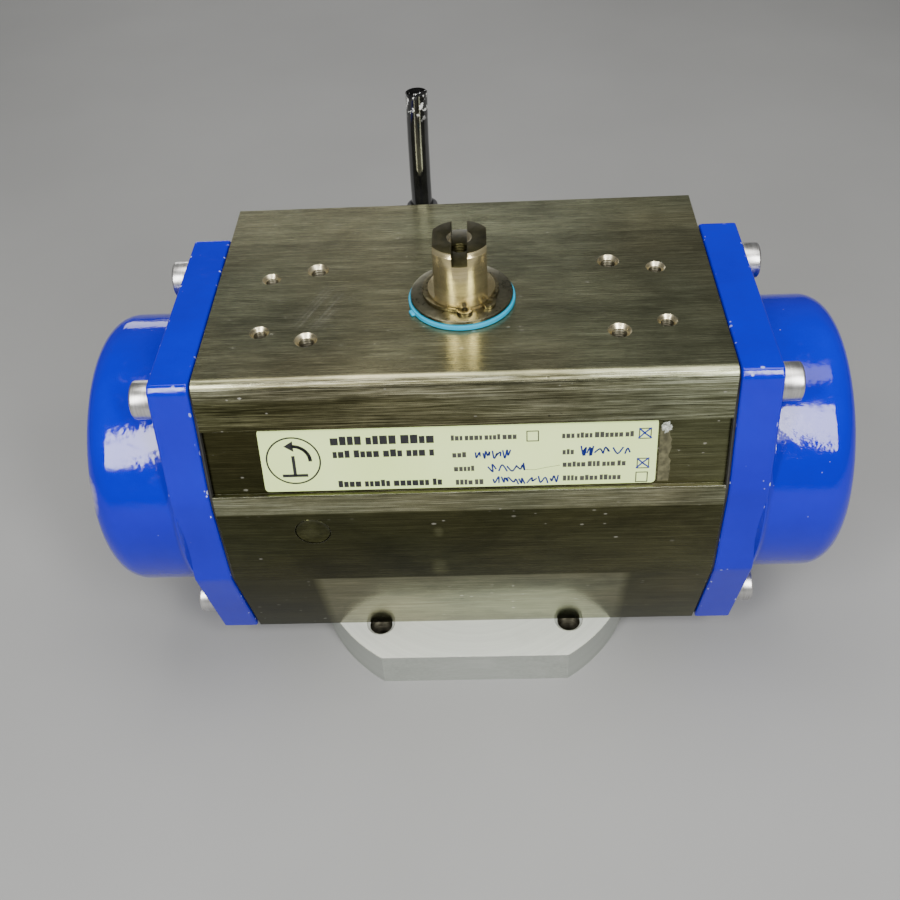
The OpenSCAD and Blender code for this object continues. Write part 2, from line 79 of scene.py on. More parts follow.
# ---------------- camera
def set_camera():
    cx, cy, cz = 8.920282, -286.683418, 342.696363
    f, pitch, yaw, roll = 1058.6948, -43.320773, -3.213102, -3.726150
    p, y, r = (math.radians(a) for a in (pitch, yaw, roll))
    fwd = Vector((math.sin(y) * math.cos(p), math.cos(y) * math.cos(p), math.sin(p)))
    right = Vector((math.cos(y), -math.sin(y), 0))
    up = right.cross(fwd)
    rr = math.cos(r) * right + math.sin(r) * up
    uu = -math.sin(r) * right + math.cos(r) * up
    cam = bpy.data.cameras.new("camera")
    cam.sensor_width = 36
    cam.lens = f / 900 * 36
    cam.clip_start = 0.01
    cam.clip_end = 20
    ob = bpy.data.objects.new("camera", cam)
    bpy.context.scene.collection.objects.link(ob)
    m = Matrix((rr, uu, -fwd)).transposed().to_4x4()
    m.translation = Vector((cx, cy, cz)) * MM
    ob.matrix_world = m
    bpy.context.scene.camera = ob


set_camera()


# ---------------- mesh tools
def link(ob):
    bpy.context.scene.collection.objects.link(ob)
    return ob


def from_bm(name, bm, mats=(), to=Matrix()):
    """Object from a bmesh in mm, moved by the matrix to and scaled to metres."""
    bmesh.ops.transform(bm, matrix=Matrix.Scale(MM, 4) @ to, verts=bm.verts[:])
    bmesh.ops.recalc_face_normals(bm, faces=bm.faces[:])
    me = bpy.data.meshes.new(name)
    bm.to_mesh(me)
    bm.free()
    ob = link(bpy.data.objects.new(name, me))
    for m in mats:
        me.materials.append(m)
    return ob


def lathe(name, profile, segs=96, to=None, mats=()):
    """Solid of revolution about Z from a closed list of (radius, height) in mm, moved by to."""
    bm = bmesh.new()
    rings = []
    for r, h in profile:
        if r < 1e-6:
            rings.append([bm.verts.new((0, 0, h))])
        else:
            rings.append([bm.verts.new((r * math.cos(2 * PI * k / segs), r * math.sin(2 * PI * k / segs), h))
                          for k in range(segs)])
    n = len(rings)
    closed = profile[0][0] > 1e-6 or profile[-1][0] > 1e-6
    for i in range(n if closed else n - 1):
        a, b = rings[i], rings[(i + 1) % n]
        if len(a) == 1 and len(b) == 1:
            continue
        for k in range(segs):
            k2 = (k + 1) % segs
            if len(a) == 1:
                bm.faces.new((a[0], b[k], b[k2]))
            elif len(b) == 1:
                bm.faces.new((a[k], b[0], a[k2]))
            else:
                bm.faces.new((a[k], b[k], b[k2], a[k2]))
    return from_bm(name, bm, mats, to or Matrix())


def skin(bm, a, b):
    """Band of quads between two closed rings of vertices."""
    for i, j in zip(range(len(a)), [*range(1, len(a)), 0]):
        bm.faces.new((a[i], a[j], b[j], b[i]))


def slab(bm, pts, z0, z1):
    lo = [bm.verts.new((x, y, z0)) for x, y in pts]
    hi = [bm.verts.new((x, y, z1)) for x, y in pts]
    bm.faces.new(lo[::-1])
    bm.faces.new(hi)
    skin(bm, lo, hi)


def prism(name, pts, length, to=None, mats=()):
    """Polygon in XY (mm) raised along Z by length (mm), then moved by to."""
    bm = bmesh.new()
    slab(bm, pts, 0, length)
    return from_bm(name, bm, mats, to or Matrix())


def block(name, lo, hi, to=None):
    pts = [(lo[0], lo[1]), (hi[0], lo[1]), (hi[0], hi[1]), (lo[0], hi[1])]
    return prism(name, pts, hi[2] - lo[2], (to if to else Matrix()) @ Matrix.Translation((0, 0, lo[2])))


def stand_for(ob, body, node):
    """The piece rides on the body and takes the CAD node's place."""
    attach(ob, body)
    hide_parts(node)


def evaluated(ob):
    dg = bpy.context.evaluated_depsgraph_get()
    dg.update()
    me = bpy.data.meshes.new_from_object(ob.evaluated_get(dg))
    old = ob.data
    ob.modifiers.clear()
    ob.data = me
    me.name = ob.name
    if old.users == 0:
        bpy.data.meshes.remove(old)
    return ob


def boolean(ob, others, op="DIFFERENCE"):
    for o in others:
        m = ob.modifiers.new("b", "BOOLEAN")
        m.operation = op
        m.solver = "EXACT"
        m.object = o
    evaluated(ob)
    for o in others:
        me = o.data
        bpy.data.objects.remove(o)
        if me.users == 0:
            bpy.data.meshes.remove(me)
    return ob


def tidy(ob, dist=0.00001):
    bm = bmesh.new()
    bm.from_mesh(ob.data)
    bmesh.ops.remove_doubles(bm, verts=bm.verts[:], dist=dist)
    bmesh.ops.dissolve_degenerate(bm, edges=bm.edges[:], dist=dist)
    bm.to_mesh(ob.data)
    bm.free()
    return ob


def bevel(ob, width, segs=2, angle=35, mat=-1):
    m = ob.modifiers.new("bevel", "BEVEL")
    m.width = width * MM
    m.segments = segs
    m.limit_method = "ANGLE"
    m.angle_limit = math.radians(angle)
    m.use_clamp_overlap = True
    m.miter_outer = "MITER_SHARP"
    m.material = mat
    return evaluated(ob)


def smooth(ob, angle=32, weighted=False):
    for p in ob.data.polygons:
        p.use_smooth = True
    ob.data.set_sharp_from_angle(angle=math.radians(angle))
    if weighted:
        m = ob.modifiers.new("normals", "WEIGHTED_NORMAL")
        m.keep_sharp = True
        m.weight = 100
        evaluated(ob)
    return ob


def grain_uv(ob):
    """UV map whose U runs across the brushing, so that highlights stretch across the scratches."""
    me = ob.data
    uv = me.uv_layers.get("grain") or me.uv_layers.new(name="grain")
    for poly in me.polygons:
        n = poly.normal
        for li in poly.loop_indices:
            c = me.vertices[me.loops[li].vertex_index].co
            if abs(n.x) > 0.8:
                uv.data[li].uv = (c.y * 4, c.z * 4)
            else:
                uv.data[li].uv = ((c.y * abs(n.z) + c.z * (1 - abs(n.z))) * 4, c.x * 4)
    return ob


ALONG_X = Matrix.Rotation(PI / 2, 4, "Y")
YZ_TO_X = Matrix(((0, 0, 1, 0), (1, 0, 0, 0), (0, 1, 0, 0), (0, 0, 0, 1)))
TO_Y = Matrix.Rotation(-PI / 2, 4, "X")
MIRROR = Matrix.Scale(-1, 4, (1, 0, 0))


def at(x, y, z):
    return Matrix.Translation((x, y, z))


def arc(c, r, a0, a1, n):
    return [(c[0] + r * math.cos(math.radians(a0 + (a1 - a0) * i / n)),
             c[1] + r * math.sin(math.radians(a0 + (a1 - a0) * i / n))) for i in range(n + 1)]


def hexagon(r):
    return [(r * math.cos(PI / 3 * k), r * math.sin(PI / 3 * k)) for k in range(6)]


def rod(name, r, h, to, segs=48):
    return lathe(name, [(0, 0), (r, 0), (r, h), (0, h)], segs, to)


def thread_cutter(name, r, pitch, depth, to, lead, segs=32):
    """Cutter for a tapped hole, mouth at z = 0 and running down."""
    prof = [(0, 1.0), (r + lead + 1.0, 1.0), (r + lead, 0), (r, -lead)]
    z = -lead - 0.1
    while z > -depth:
        prof += [(r, z), (r + 0.42 * pitch, z - pitch * 0.5)]
        z -= pitch
    prof += [(r, z), (r, z - 0.6), (0, z - 1.6)]
    return lathe(name, prof, segs, to)


# ---------------- material tools
class Nodes:
    def __init__(self, name):
        self.mat = bpy.data.materials.new(name)
        self.mat.use_nodes = True
        self.nt = self.mat.node_tree
        self.nt.nodes.clear()
        self.out = self.add("ShaderNodeOutputMaterial")
        self.bsdf = self.add("ShaderNodeBsdfPrincipled")
        self.nt.links.new(self.bsdf.outputs[0], self.out.inputs[0])
        self.obj = self.add("ShaderNodeTexCoord").outputs["Object"]

    def add(self, kind, **props):
        n = self.nt.nodes.new(kind)
        for k, v in props.items():
            setattr(n, k, v)
        return n

    def put(self, sock, v):
        if isinstance(v, bpy.types.NodeSocket):
            self.nt.links.new(v, sock)
        elif isinstance(v, (tuple, list)) and sock.type == "RGBA" and len(v) == 3:
            sock.default_value = (*v, 1)
        else:
            sock.default_value = v

    def mapping(self, scale, loc=(0, 0, 0), rot=(0, 0, 0), src=None):
        n = self.add("ShaderNodeMapping")
        self.put(n.inputs["Vector"], src or self.obj)
        n.inputs["Scale"].default_value = scale
        n.inputs["Location"].default_value = loc
        n.inputs["Rotation"].default_value = rot
        return n.outputs[0]

    def noise(self, vec, scale=1.0, detail=4.0, rough=0.6, dist=0.0):
        n = self.add("ShaderNodeTexNoise")
        self.put(n.inputs["Vector"], vec)
        n.inputs["Scale"].default_value = scale
        n.inputs["Detail"].default_value = detail
        n.inputs["Roughness"].default_value = rough
        n.inputs["Distortion"].default_value = dist
        return n.outputs["Fac"]

    def cells(self, vec, scale):
        """Cell pattern: distance to the cell's point, and the cell's random colour split in channels."""
        n = self.add("ShaderNodeTexVoronoi", feature="F1")
        self.put(n.inputs["Vector"], vec)
        n.inputs["Scale"].default_value = scale
        pick = self.add("ShaderNodeSeparateColor")
        self.put(pick.inputs[0], n.outputs["Color"])
        return n.outputs["Distance"], pick.outputs

    def ramp(self, fac, stops):
        n = self.add("ShaderNodeValToRGB")
        el = n.color_ramp.elements
        while len(el) < len(stops):
            el.new(0.5)
        for e, (p, c) in zip(el, stops):
            e.position = p
            e.color = (c, c, c, 1) if isinstance(c, (int, float)) else (*c, 1)
        self.put(n.inputs[0], fac)
        return n.outputs[0]

    def mix(self, fac, a, b, mode="MIX"):
        n = self.add("ShaderNodeMix", data_type="RGBA", blend_type=mode)
        self.put(n.inputs[0], fac)
        self.put(n.inputs[6], a)
        self.put(n.inputs[7], b)
        return n.outputs[2]

    def math(self, op, a, b=0.0):
        n = self.add("ShaderNodeMath", operation=op)
        self.put(n.inputs[0], a)
        self.put(n.inputs[1], b)
        return n.outputs[0]

    def mul(self, a, b):
        return self.math("MULTIPLY", a, b)

    def plus(self, a, b):
        return self.math("ADD", a, b)

    def minus(self, a, b):
        return self.math("SUBTRACT", a, b)

    def length(self, a, b):
        """Length of the vector (a, b)."""
        return self.math("SQRT", self.plus(self.mul(a, a), self.mul(b, b)))

    def remap(self, v, a, b, c, d):
        n = self.add("ShaderNodeMapRange")
        self.put(n.inputs["Value"], v)
        for k, x in zip(("From Min", "From Max", "To Min", "To Max"), (a, b, c, d)):
            n.inputs[k].default_value = x
        return n.outputs[0]

    def up(self, v, a, b):
        return self.remap(v, a, b, 0.0, 1.0)

    def down(self, v, a, b):
        return self.remap(v, a, b, 1.0, 0.0)

    def xyz(self):
        n = self.add("ShaderNodeSeparateXYZ")
        self.put(n.inputs[0], self.obj)
        return n.outputs

    def bump(self, height, strength=0.3, distance=0.0001, normal=None):
        n = self.add("ShaderNodeBump")
        n.inputs["Strength"].default_value = strength
        n.inputs["Distance"].default_value = distance
        self.put(n.inputs["Height"], height)
        if normal is not None:
            self.put(n.inputs["Normal"], normal)
        return n.outputs[0]

    def set(self, **kw):
        names = {"color": "Base Color", "metal": "Metallic", "rough": "Roughness", "normal": "Normal",
                 "coat": "Coat Weight", "coat_rough": "Coat Roughness", "spec": "Specular IOR Level",
                 "aniso": "Anisotropic", "tangent": "Tangent", "alpha": "Alpha"}
        for k, v in kw.items():
            self.put(self.bsdf.inputs[names[k]], v)
        return self.mat


def brushed_body():
    """Aluminium ground along X. Its tones are set by position on the body; most of them are painted light,
    shade and reflection.
    """
    g = Nodes("aluminium_ground")
    x, y, z = g.xyz()
    fine = g.noise(g.mapping((60, 5200, 5200)), 1.0, 3.0, 0.7)
    mid = g.noise(g.mapping((34, 1900, 1900), loc=(3, 1, 7)), 1.0, 4.0, 0.65)
    broad = g.noise(g.mapping((14, 300, 300), loc=(1, 5, 2)), 1.0, 4.0, 0.6)
    blot = g.noise(g.mapping((28, 52, 52), loc=(9, 2, 4)), 1.0, 6.0, 0.68, 0.5)
    hue = g.noise(g.mapping((11, 15, 15), loc=(2, 8, 1)), 1.0, 3.0, 0.5)
    top = g.up(z, 0.1392, 0.1398)
    band = g.mul(g.up(z, 0.1224, 0.1228), g.minus(1.0, top))
    lip = g.mul(g.up(z, 0.0904, 0.0912), g.up(z, 0.0982, 0.0978))
    # ramp from the left end towards the right: drives painted light that grows towards the right end, and
    # where specks gather on the left
    right = g.up(x, -0.055, 0.03)
    tone = g.plus(g.mul(fine, 0.50), g.mul(mid, 0.40))
    tone = g.plus(tone, g.mul(broad, 0.10))
    amp = g.plus(0.62, g.mul(band, 1.25))
    amp = g.minus(amp, g.mul(top, 0.24))
    amp = g.plus(amp, g.mul(lip, 0.5))
    tone = g.plus(0.5, g.mul(g.minus(tone, 0.5), amp))
    col = g.ramp(tone, [(0.30, (0.030, 0.029, 0.015)), (0.5, (0.150, 0.148, 0.095)),
            (0.70, (0.42, 0.42, 0.33))])
    warm = g.mix(g.ramp(hue, [(0.42, 0.0), (0.62, 1.0)]), (0.96, 1.0, 0.93), (1.0, 0.95, 0.84))
    col = g.mix(1.0, col, warm, "MULTIPLY")
    col = g.mix(1.0, col, g.ramp(blot, [(0.34, 0.62), (0.62, 1.12)]), "MULTIPLY")
    slope = g.down(z, 0.0565, 0.0572)
    # painted reflection of the plate: the middle of the lower slope, over the plate, is made lighter
    plate_reflection = g.mul(g.down(g.math("ABSOLUTE", x), 0.052, 0.056), slope)
    recess = g.mul(g.up(z, 0.0977, 0.0982), g.down(z, 0.1224, 0.1228))
    wall = g.math("ABSOLUTE", y)
    front = g.up(wall, 0.0340, 0.0345)
    low = g.mul(g.down(z, 0.0900, 0.0904), front)
    # painted highlight along the top front rounded edge
    edge_highlight = g.mul(g.up(wall, 0.0374, 0.0382), g.up(z, 0.1325, 0.1345))
    # painted light and shade: each zone of the profile gets its own lightness, standing in for how its face
    # catches the light, and most grow lighter towards the right end as painted light
    painted_light_and_marks = g.plus(0.32, g.mul(top, g.plus(1.32, g.mul(right, 0.10))))
    for zone, more in ((g.mul(recess, right), 0.45), (band, 0.30), (plate_reflection, 0.95),
                       (g.minus(1.0, front), g.mul(g.minus(1.0, top), 0.4)), (g.mul(band, right), 0.55),
                       (g.mul(lip, front), 1.15), (g.mul(low, g.up(x, 0.0, 0.08)), 0.24), (edge_highlight, 0.7)):
        painted_light_and_marks = g.plus(painted_light_and_marks, g.mul(zone, more))
    # darker patina on the closed drilling
    away = g.length(g.minus(x, PLUG_X * MM), g.minus(z, PLUG_Z * MM))
    spot = g.mul(g.down(away, 0.0052, 0.0062), g.up(y, -0.044, -0.046))
    painted_light_and_marks = g.minus(painted_light_and_marks, g.mul(spot, g.remap(blot, 0.4, 0.6, 0.18, -0.12)))
    # two faint rub marks on the front
    for px, pz, pr in ((-0.010, 0.0805, 0.0016), (-0.0105, 0.062, 0.0028)):
        near = g.length(g.mul(g.plus(x, -px), 1.0 / pr), g.mul(g.plus(z, -pz), 0.7 / pr))
        near = g.mul(g.remap(near, 0.4, 1.3, 0.38, 0.0), g.up(y, -0.030, -0.032))
        painted_light_and_marks = g.plus(painted_light_and_marks, near)
    # the painted light and shade, with the patina spot and rub marks, multiply the colour
    painted_light_and_marks_rgb = g.add("ShaderNodeCombineColor")
    for k in range(3):
        g.put(painted_light_and_marks_rgb.inputs[k], painted_light_and_marks if k < 2 else g.mul(painted_light_and_marks, g.remap(painted_light_and_marks, 0.3, 1.3, 0.68, 1.0)))
    col = g.mix(1.0, col, painted_light_and_marks_rgb.outputs[0], "MULTIPLY")
    # small dents and nicks, in patches, some bright and some dark
    near, pick = g.cells(g.mapping((0.55, 1.0, 1.0)), 480)
    reach = g.mul(g.up(pick[0], 0.55, 1.0), 0.24)
    dent = g.up(g.minus(reach, near), 0.0, 0.05)
    patch = g.ramp(g.noise(g.mapping((26, 30, 30), loc=(4, 4, 9)), 1.0, 3.0, 0.6),
            [(0.44, 0.12), (0.62, 1.0)])
    left = g.mul(g.minus(1.0, right), g.plus(band, recess))
    speck = g.mul(g.math("MINIMUM", g.plus(patch, g.mul(g.plus(left, spot), 0.7)), 1.0), dent)
    speck = g.mul(speck, g.plus(0.55, g.mul(band, 0.45)))
    col = g.mix(speck, col, g.mix(g.ramp(pick[1], [(0.6, 0.0), (0.62, 1.0)]), (0.66, 0.64, 0.55),
            (0.02, 0.018, 0.01)))
    # a bundle of straight scratches lying across the grain on the top face
    turn = math.radians(65)
    along = g.plus(g.mul(x, math.cos(turn)), g.mul(y, math.sin(turn)))
    across = g.plus(g.mul(x, -math.sin(turn)), g.mul(y, math.cos(turn)))
    mark_x, mark_y = -0.0455, -0.004
    u0 = mark_x * math.cos(turn) + mark_y * math.sin(turn)
    v0 = -mark_x * math.sin(turn) + mark_y * math.cos(turn)
    du = g.math("ABSOLUTE", g.minus(along, u0))
    dv = g.math("ABSOLUTE", g.minus(across, v0))
    line = g.add("ShaderNodeCombineXYZ")
    g.put(line.inputs[0], along)
    g.put(line.inputs[1], across)
    scr = g.noise(g.mapping((24, 1100, 1), src=line.outputs[0]), 1.0, 2.0, 0.5)
    scr = g.mul(g.ramp(scr, [(0.52, 0.0), (0.62, 1.0)]), g.remap(du, 0.008, 0.014, 0.60, 0.0))
    scr = g.mul(g.mul(scr, g.down(dv, 0.005, 0.008)), top)
    col = g.mix(scr, col, (0.40, 0.39, 0.31))
    rough = g.plus(g.remap(fine, 0.3, 0.7, 0.17, 0.27), g.mul(broad, 0.08))
    rough = g.minus(rough, g.mul(slope, 0.07))
    height = g.plus(g.mul(fine, 1.0), g.mul(mid, 0.8))
    nrm = g.bump(height, 0.22, 0.00005)
    nrm = g.bump(g.mul(speck, -1.0), 0.5, 0.00012, nrm)
    tan = g.add("ShaderNodeTangent", direction_type="UV_MAP", uv_map="grain").outputs[0]
    return g.set(color=col, metal=1.0, rough=rough, normal=nrm, aniso=0.75, tangent=tan)


def worn_edge():
    g = Nodes("aluminium_worn_edge")
    n = g.noise(g.mapping((400, 900, 900)), 1.0, 4.0, 0.6)
    col = g.ramp(n, [(0.35, (0.34, 0.33, 0.28)), (0.6, (0.74, 0.73, 0.67))])
    return g.set(color=col, metal=1.0, rough=g.remap(n, 0.3, 0.7, 0.22, 0.42), normal=g.bump(n, 0.2, 0.00005))


def plate_metal(name, low, high):
    g = Nodes(name)
    x, y, z = g.xyz()
    r = g.length(x, y)
    comb = g.add("ShaderNodeCombineXYZ")
    g.put(comb.inputs[0], r)
    g.put(comb.inputs[2], z)
    rings = g.noise(g.mapping((1500, 1, 1500), src=comb.outputs[0]), 1.0, 3.0, 0.6)
    wide = g.noise(g.mapping((160, 1, 160), src=comb.outputs[0]), 1.0, 2.0, 0.5)
    cloud = g.noise(g.obj, 45, 4.0, 0.6)
    t = g.plus(g.mul(rings, 0.6), g.mul(wide, 0.4))
    col = g.ramp(t, [(0.30, low), (0.65, high)])
    col = g.mix(g.ramp(cloud, [(0.55, 0.0), (0.8, 0.35)]), col, (0.62, 0.63, 0.58))
    rough = g.plus(g.remap(rings, 0.3, 0.7, 0.38, 0.50), g.mul(cloud, 0.08))
    return g.set(color=col, metal=0.45, rough=rough, normal=g.bump(t, 0.14, 0.00005))


def blue_paint(name, wear):
    """Glossy enamel; wear is the share of chipped spots."""
    g = Nodes(name)
    peel = g.noise(g.obj, 360, 2.0, 0.5)
    lump = g.noise(g.obj, 70, 3.0, 0.55)
    haze = g.noise(g.obj, 24, 4.0, 0.6)
    smear = g.noise(g.mapping((130, 240, 240), loc=(3, 2, 8)), 1.0, 5.0, 0.7, 0.5)
    col = g.mix(g.ramp(haze, [(0.35, 0.0), (0.7, 1.0)]), (0.0, 0.0, 0.40), (0.0, 0.002, 0.50))
    patch = g.ramp(g.noise(g.mapping((30, 30, 30), loc=(7, 1, 3)), 1.0, 2.0, 0.5), [(0.50, 0.0), (0.64, 1.0)])
    near, pick = g.cells(g.mapping((1.0, 1.5, 0.8), rot=(0.4, 0.2, 0.3)), 420)
    reach = g.mul(g.up(pick[0], 0.80 - wear, 1.0), 0.14 + wear * 0.6)
    chip = g.up(g.minus(reach, near), 0.0, 0.04)
    m = g.mul(g.plus(patch, wear), chip)
    col = g.mix(g.math("MINIMUM", m, 0.9 if wear else 0.4), col, (0.50, 0.55, 0.80))
    x, y, z = g.xyz()
    off = [g.mul(g.minus(v, p), 1.0 / r)
           for v, p, r in ((x, -0.1255, 0.004), (y, -0.041, 0.007), (z, 0.094, 0.009))]
    off = [g.mul(v, v) for v in off]
    far = g.plus(g.plus(off[0], g.plus(off[1], off[2])), g.mul(smear, 0.9))
    col = g.mix(g.remap(far, 0.45, 1.3, 0.75, 0.0), col, (0.42, 0.40, 0.36))
    rough = g.plus(g.remap(haze, 0.3, 0.7, 0.05, 0.09), g.ramp(smear, [(0.54, 0.0), (0.68, 0.18)]))
    h = g.plus(g.mul(peel, 0.62), g.mul(lump, 0.9))
    h = g.plus(h, g.mul(smear, 0.20))
    h = g.minus(h, g.mul(m, 0.25))
    return g.set(color=col, metal=0.0, rough=rough, normal=g.bump(h, 0.16, 0.0006), spec=0.42)


def steel(name, dark, light, rough=(0.2, 0.36), scale=(60, 60, 2600), strength=0.16, seed=0.0):
    g = Nodes(name)
    s = g.noise(g.mapping(scale, loc=(seed, seed * 2, 1)), 1.0, 3.0, 0.6)
    c = g.noise(g.mapping((90, 90, 90), loc=(seed, 3, 5)), 1.0, 5.0, 0.6)
    t = g.plus(g.mul(s, 0.5), g.mul(c, 0.5))
    col = g.ramp(t, [(0.36, dark), (0.62, light)])
    return g.set(color=col, metal=1.0, rough=g.remap(t, 0.3, 0.7, *rough),
            normal=g.bump(s, strength, 0.00005))


def plain(name, dark, light, rough=(0.35, 0.5), scale=240, strength=0.15, dist=0.0001):
    g = Nodes(name)
    n = g.noise(g.obj, scale, 4.0, 0.6)
    w = g.noise(g.mapping((30, 30, 30), loc=(2, 6, 4)), 1.0, 3.0, 0.5)
    t = g.plus(g.mul(n, 0.5), g.mul(w, 0.5))
    col = g.ramp(t, [(0.35, dark), (0.65, light)])
    return g.set(color=col, rough=g.remap(n, 0.3, 0.7, *rough), normal=g.bump(n, strength, dist))


def shaft_nickel():
    """Champagne nickel with fine turning lines."""
    g = Nodes("steel_nickel")
    s = g.noise(g.mapping((60, 60, 2600)), 1.0, 3.0, 0.6)
    c = g.noise(g.mapping((90, 90, 90), loc=(0, 3, 5)), 1.0, 5.0, 0.6)
    t = g.plus(g.mul(s, 0.5), g.mul(c, 0.5))
    col = g.ramp(t, [(0.36, (0.46, 0.38, 0.19)), (0.62, (0.74, 0.64, 0.37))])
    return g.set(color=col, metal=0.9, rough=g.remap(t, 0.3, 0.7, 0.16, 0.27),
            normal=g.bump(s, 0.12, 0.00005))


def hose_plastic():
    """Glossy black tube with whitened flecks near the cut end."""
    g = Nodes("hose_black")
    z = g.xyz()[2]
    n = g.noise(g.obj, 160, 4.0, 0.6)
    col = g.ramp(n, [(0.35, (0.004, 0.004, 0.004)), (0.65, (0.010, 0.010, 0.010))])
    dots = g.ramp(g.noise(g.obj, 620, 2.0, 0.5), [(0.60, 0.0), (0.625, 1.0)])
    dots = g.mul(dots, g.remap(z, 0.1655, 0.1710, 0.0, 0.9))
    col = g.mix(dots, col, (0.72, 0.72, 0.70))
    return g.set(color=col, rough=g.remap(n, 0.3, 0.7, 0.06, 0.14), normal=g.bump(n, 0.08, 0.0002), coat=0.9,
            coat_rough=0.06)


M_BODY = brushed_body()
M_EDGE = worn_edge()
M_THREAD = steel("aluminium_thread", (0.64, 0.56, 0.34), (0.95, 0.86, 0.60), (0.2, 0.36), (300, 300, 1500),
        0.1, 11.0)
M_PLATE = plate_metal("aluminium_turned", (0.84, 0.87, 0.82), (0.95, 0.98, 0.93))
# much darker copy of the plate metal for the milled sides: painted shade
M_PLATE_SIDE_SHADED = plate_metal("aluminium_milled_painted_shade", (0.30, 0.315, 0.285), (0.41, 0.43, 0.395))
M_BRIGHT = steel("aluminium_bright", (0.86, 0.88, 0.83), (0.97, 0.98, 0.95), (0.18, 0.3), (400, 400, 400),
        0.1, 13.0)
M_BLUE = blue_paint("paint_blue", 0.0)
M_BLUE_EDGE = blue_paint("paint_blue_worn", 0.42)
# near-black metal for the deep walls of tapped holes: painted shade
M_HOLE_SHADE = steel("metal_deep_painted_shade", (0.05, 0.045, 0.03), (0.16, 0.15, 0.11), (0.3, 0.5), (300, 300, 1500), 0.1, 12.0)
M_SHAFT = shaft_nickel()
# near-black copy of the shaft nickel for the top face, slot walls and bore: painted shade
M_SHAFT_SHADED = steel("steel_nickel_painted_shade", (0.036, 0.033, 0.012), (0.10, 0.09, 0.04), (0.3, 0.45),
        (300, 300, 300), 0.15, 14.0)
M_WASHER = steel("steel_washer", (0.17, 0.16, 0.10), (0.27, 0.255, 0.17), (0.24, 0.36), (700, 700, 700),
        0.10, 2.0)
M_CLIP = steel("steel_clip", (0.16, 0.14, 0.07), (0.40, 0.35, 0.20), (0.2, 0.42), (700, 700, 700), 0.25, 5.0)
M_NICKEL = steel("brass_nickel", (0.48, 0.46, 0.42), (0.74, 0.72, 0.67), (0.16, 0.3), (200, 1500, 200), 0.1,
        8.0)
M_SCREW = steel("steel_screw", (0.50, 0.49, 0.47), (0.78, 0.77, 0.75), (0.26, 0.42), (2200, 120, 120), 0.22,
        3.0)
M_DARKSTEEL = steel("steel_zinc", (0.20, 0.20, 0.20), (0.42, 0.42, 0.41), (0.3, 0.5), (200, 200, 200), 0.2,
        4.0)
M_SPRING = steel("steel_spring", (0.10, 0.10, 0.105), (0.26, 0.26, 0.27), (0.3, 0.5), (300, 300, 300), 0.2,
        6.0)
M_PISTON = steel("aluminium_piston", (0.55, 0.55, 0.56), (0.78, 0.78, 0.79), (0.25, 0.4), (1800, 80, 80),
        0.2, 7.0)
M_SKY = plain("acetal_blue", (0.0, 0.30, 0.50), (0.0, 0.38, 0.60), (0.36, 0.5), 500, 0.1, 0.00005)
M_RUBBER = plain("rubber_black", (0.012, 0.012, 0.012), (0.035, 0.034, 0.032), (0.5, 0.75), 700, 0.25)
M_WHITE = plain("acetal_natural", (0.66, 0.62, 0.52), (0.80, 0.77, 0.68), (0.4, 0.55), 300, 0.1)
M_FITTING = plain("plastic_black", (0.012, 0.012, 0.013), (0.030, 0.030, 0.032), (0.30, 0.45), 900, 0.18,
        0.00006)
M_HOSE = hose_plastic()

# ---------------- hose
HOSE = [(-16, 77, 112), (-16, 77, 120), (-16, 77, 128), (-16, 77, 134), (-16, 77.1, 142),
        (-15.9, 77.3, 150), (-15.8, 77.5, 158), (-15.6, 77.8, 166), (-15.4, 78.2, 172), (-15.3, 78.5, 177)]


def make_hose():
    outer, inner, sides = 3.95, 2.7, 40
    pts = []
    for a, b in zip(HOSE, HOSE[1:]):
        for k in range(3):
            pts.append(tuple(a[i] + (b[i] - a[i]) * k / 3 for i in range(3)))
    pts.append(HOSE[-1])
    bm = bmesh.new()

    def ring(c, r, tilt):
        vs = []
        for k in range(sides):
            a = 2 * PI * k / sides
            dx, dy = r * math.cos(a), r * math.sin(a)
            dz = tilt * (0.30 * dx - 0.42 * dy)
            jag = tilt * 0.14 * math.sin(5 * a + 1.1) + tilt * 0.09 * math.sin(11 * a)
            vs.append(bm.verts.new((c[0] + dx, c[1] + dy, c[2] + dz + jag)))
        return vs

    rings = [ring(c, outer, 0) for c in pts[:-1]]
    end = pts[-1]
    top = (end[0], end[1], end[2] - 2.2)
    rings.append(ring((top[0], top[1], top[2] - 0.15), outer, 0.98))
    rings.append(ring(top, outer - 0.12, 1))
    rings.append(ring(top, inner + 0.08, 1))
    rings.append(ring((top[0], top[1], top[2] - 0.2), inner, 0.95))
    rings += [ring(c, inner, 0) for c in pts[-2::-1]]
    for a, b in zip(rings, rings[1:] + rings[:1]):
        skin(bm, a, b)
    ob = smooth(from_bm("hose_stub", bm, [M_HOSE]), 50)
    stand_for(ob, "swivel_elbow", "air_hose")
    return ob


make_hose()

# ---------------- body
BODY_OUTLINE = (
    [(-35.5, 15), (35.5, 15), (48.3, 57), (48.9, 72), (60.5, 82), (61.5, 83), (61.5, 139.2), (60.7, 140)]
    + arc((-37.2, 136), 4, 90, 187, 16)
    + [(-42.7, RECESS_HIGH[1]), RECESS_HIGH, RECESS_LOW, (-47.5, RECESS_LOW[1]), (-48.0, 97.3), (-48.9, 91),
            (-48.3, 57)]
)


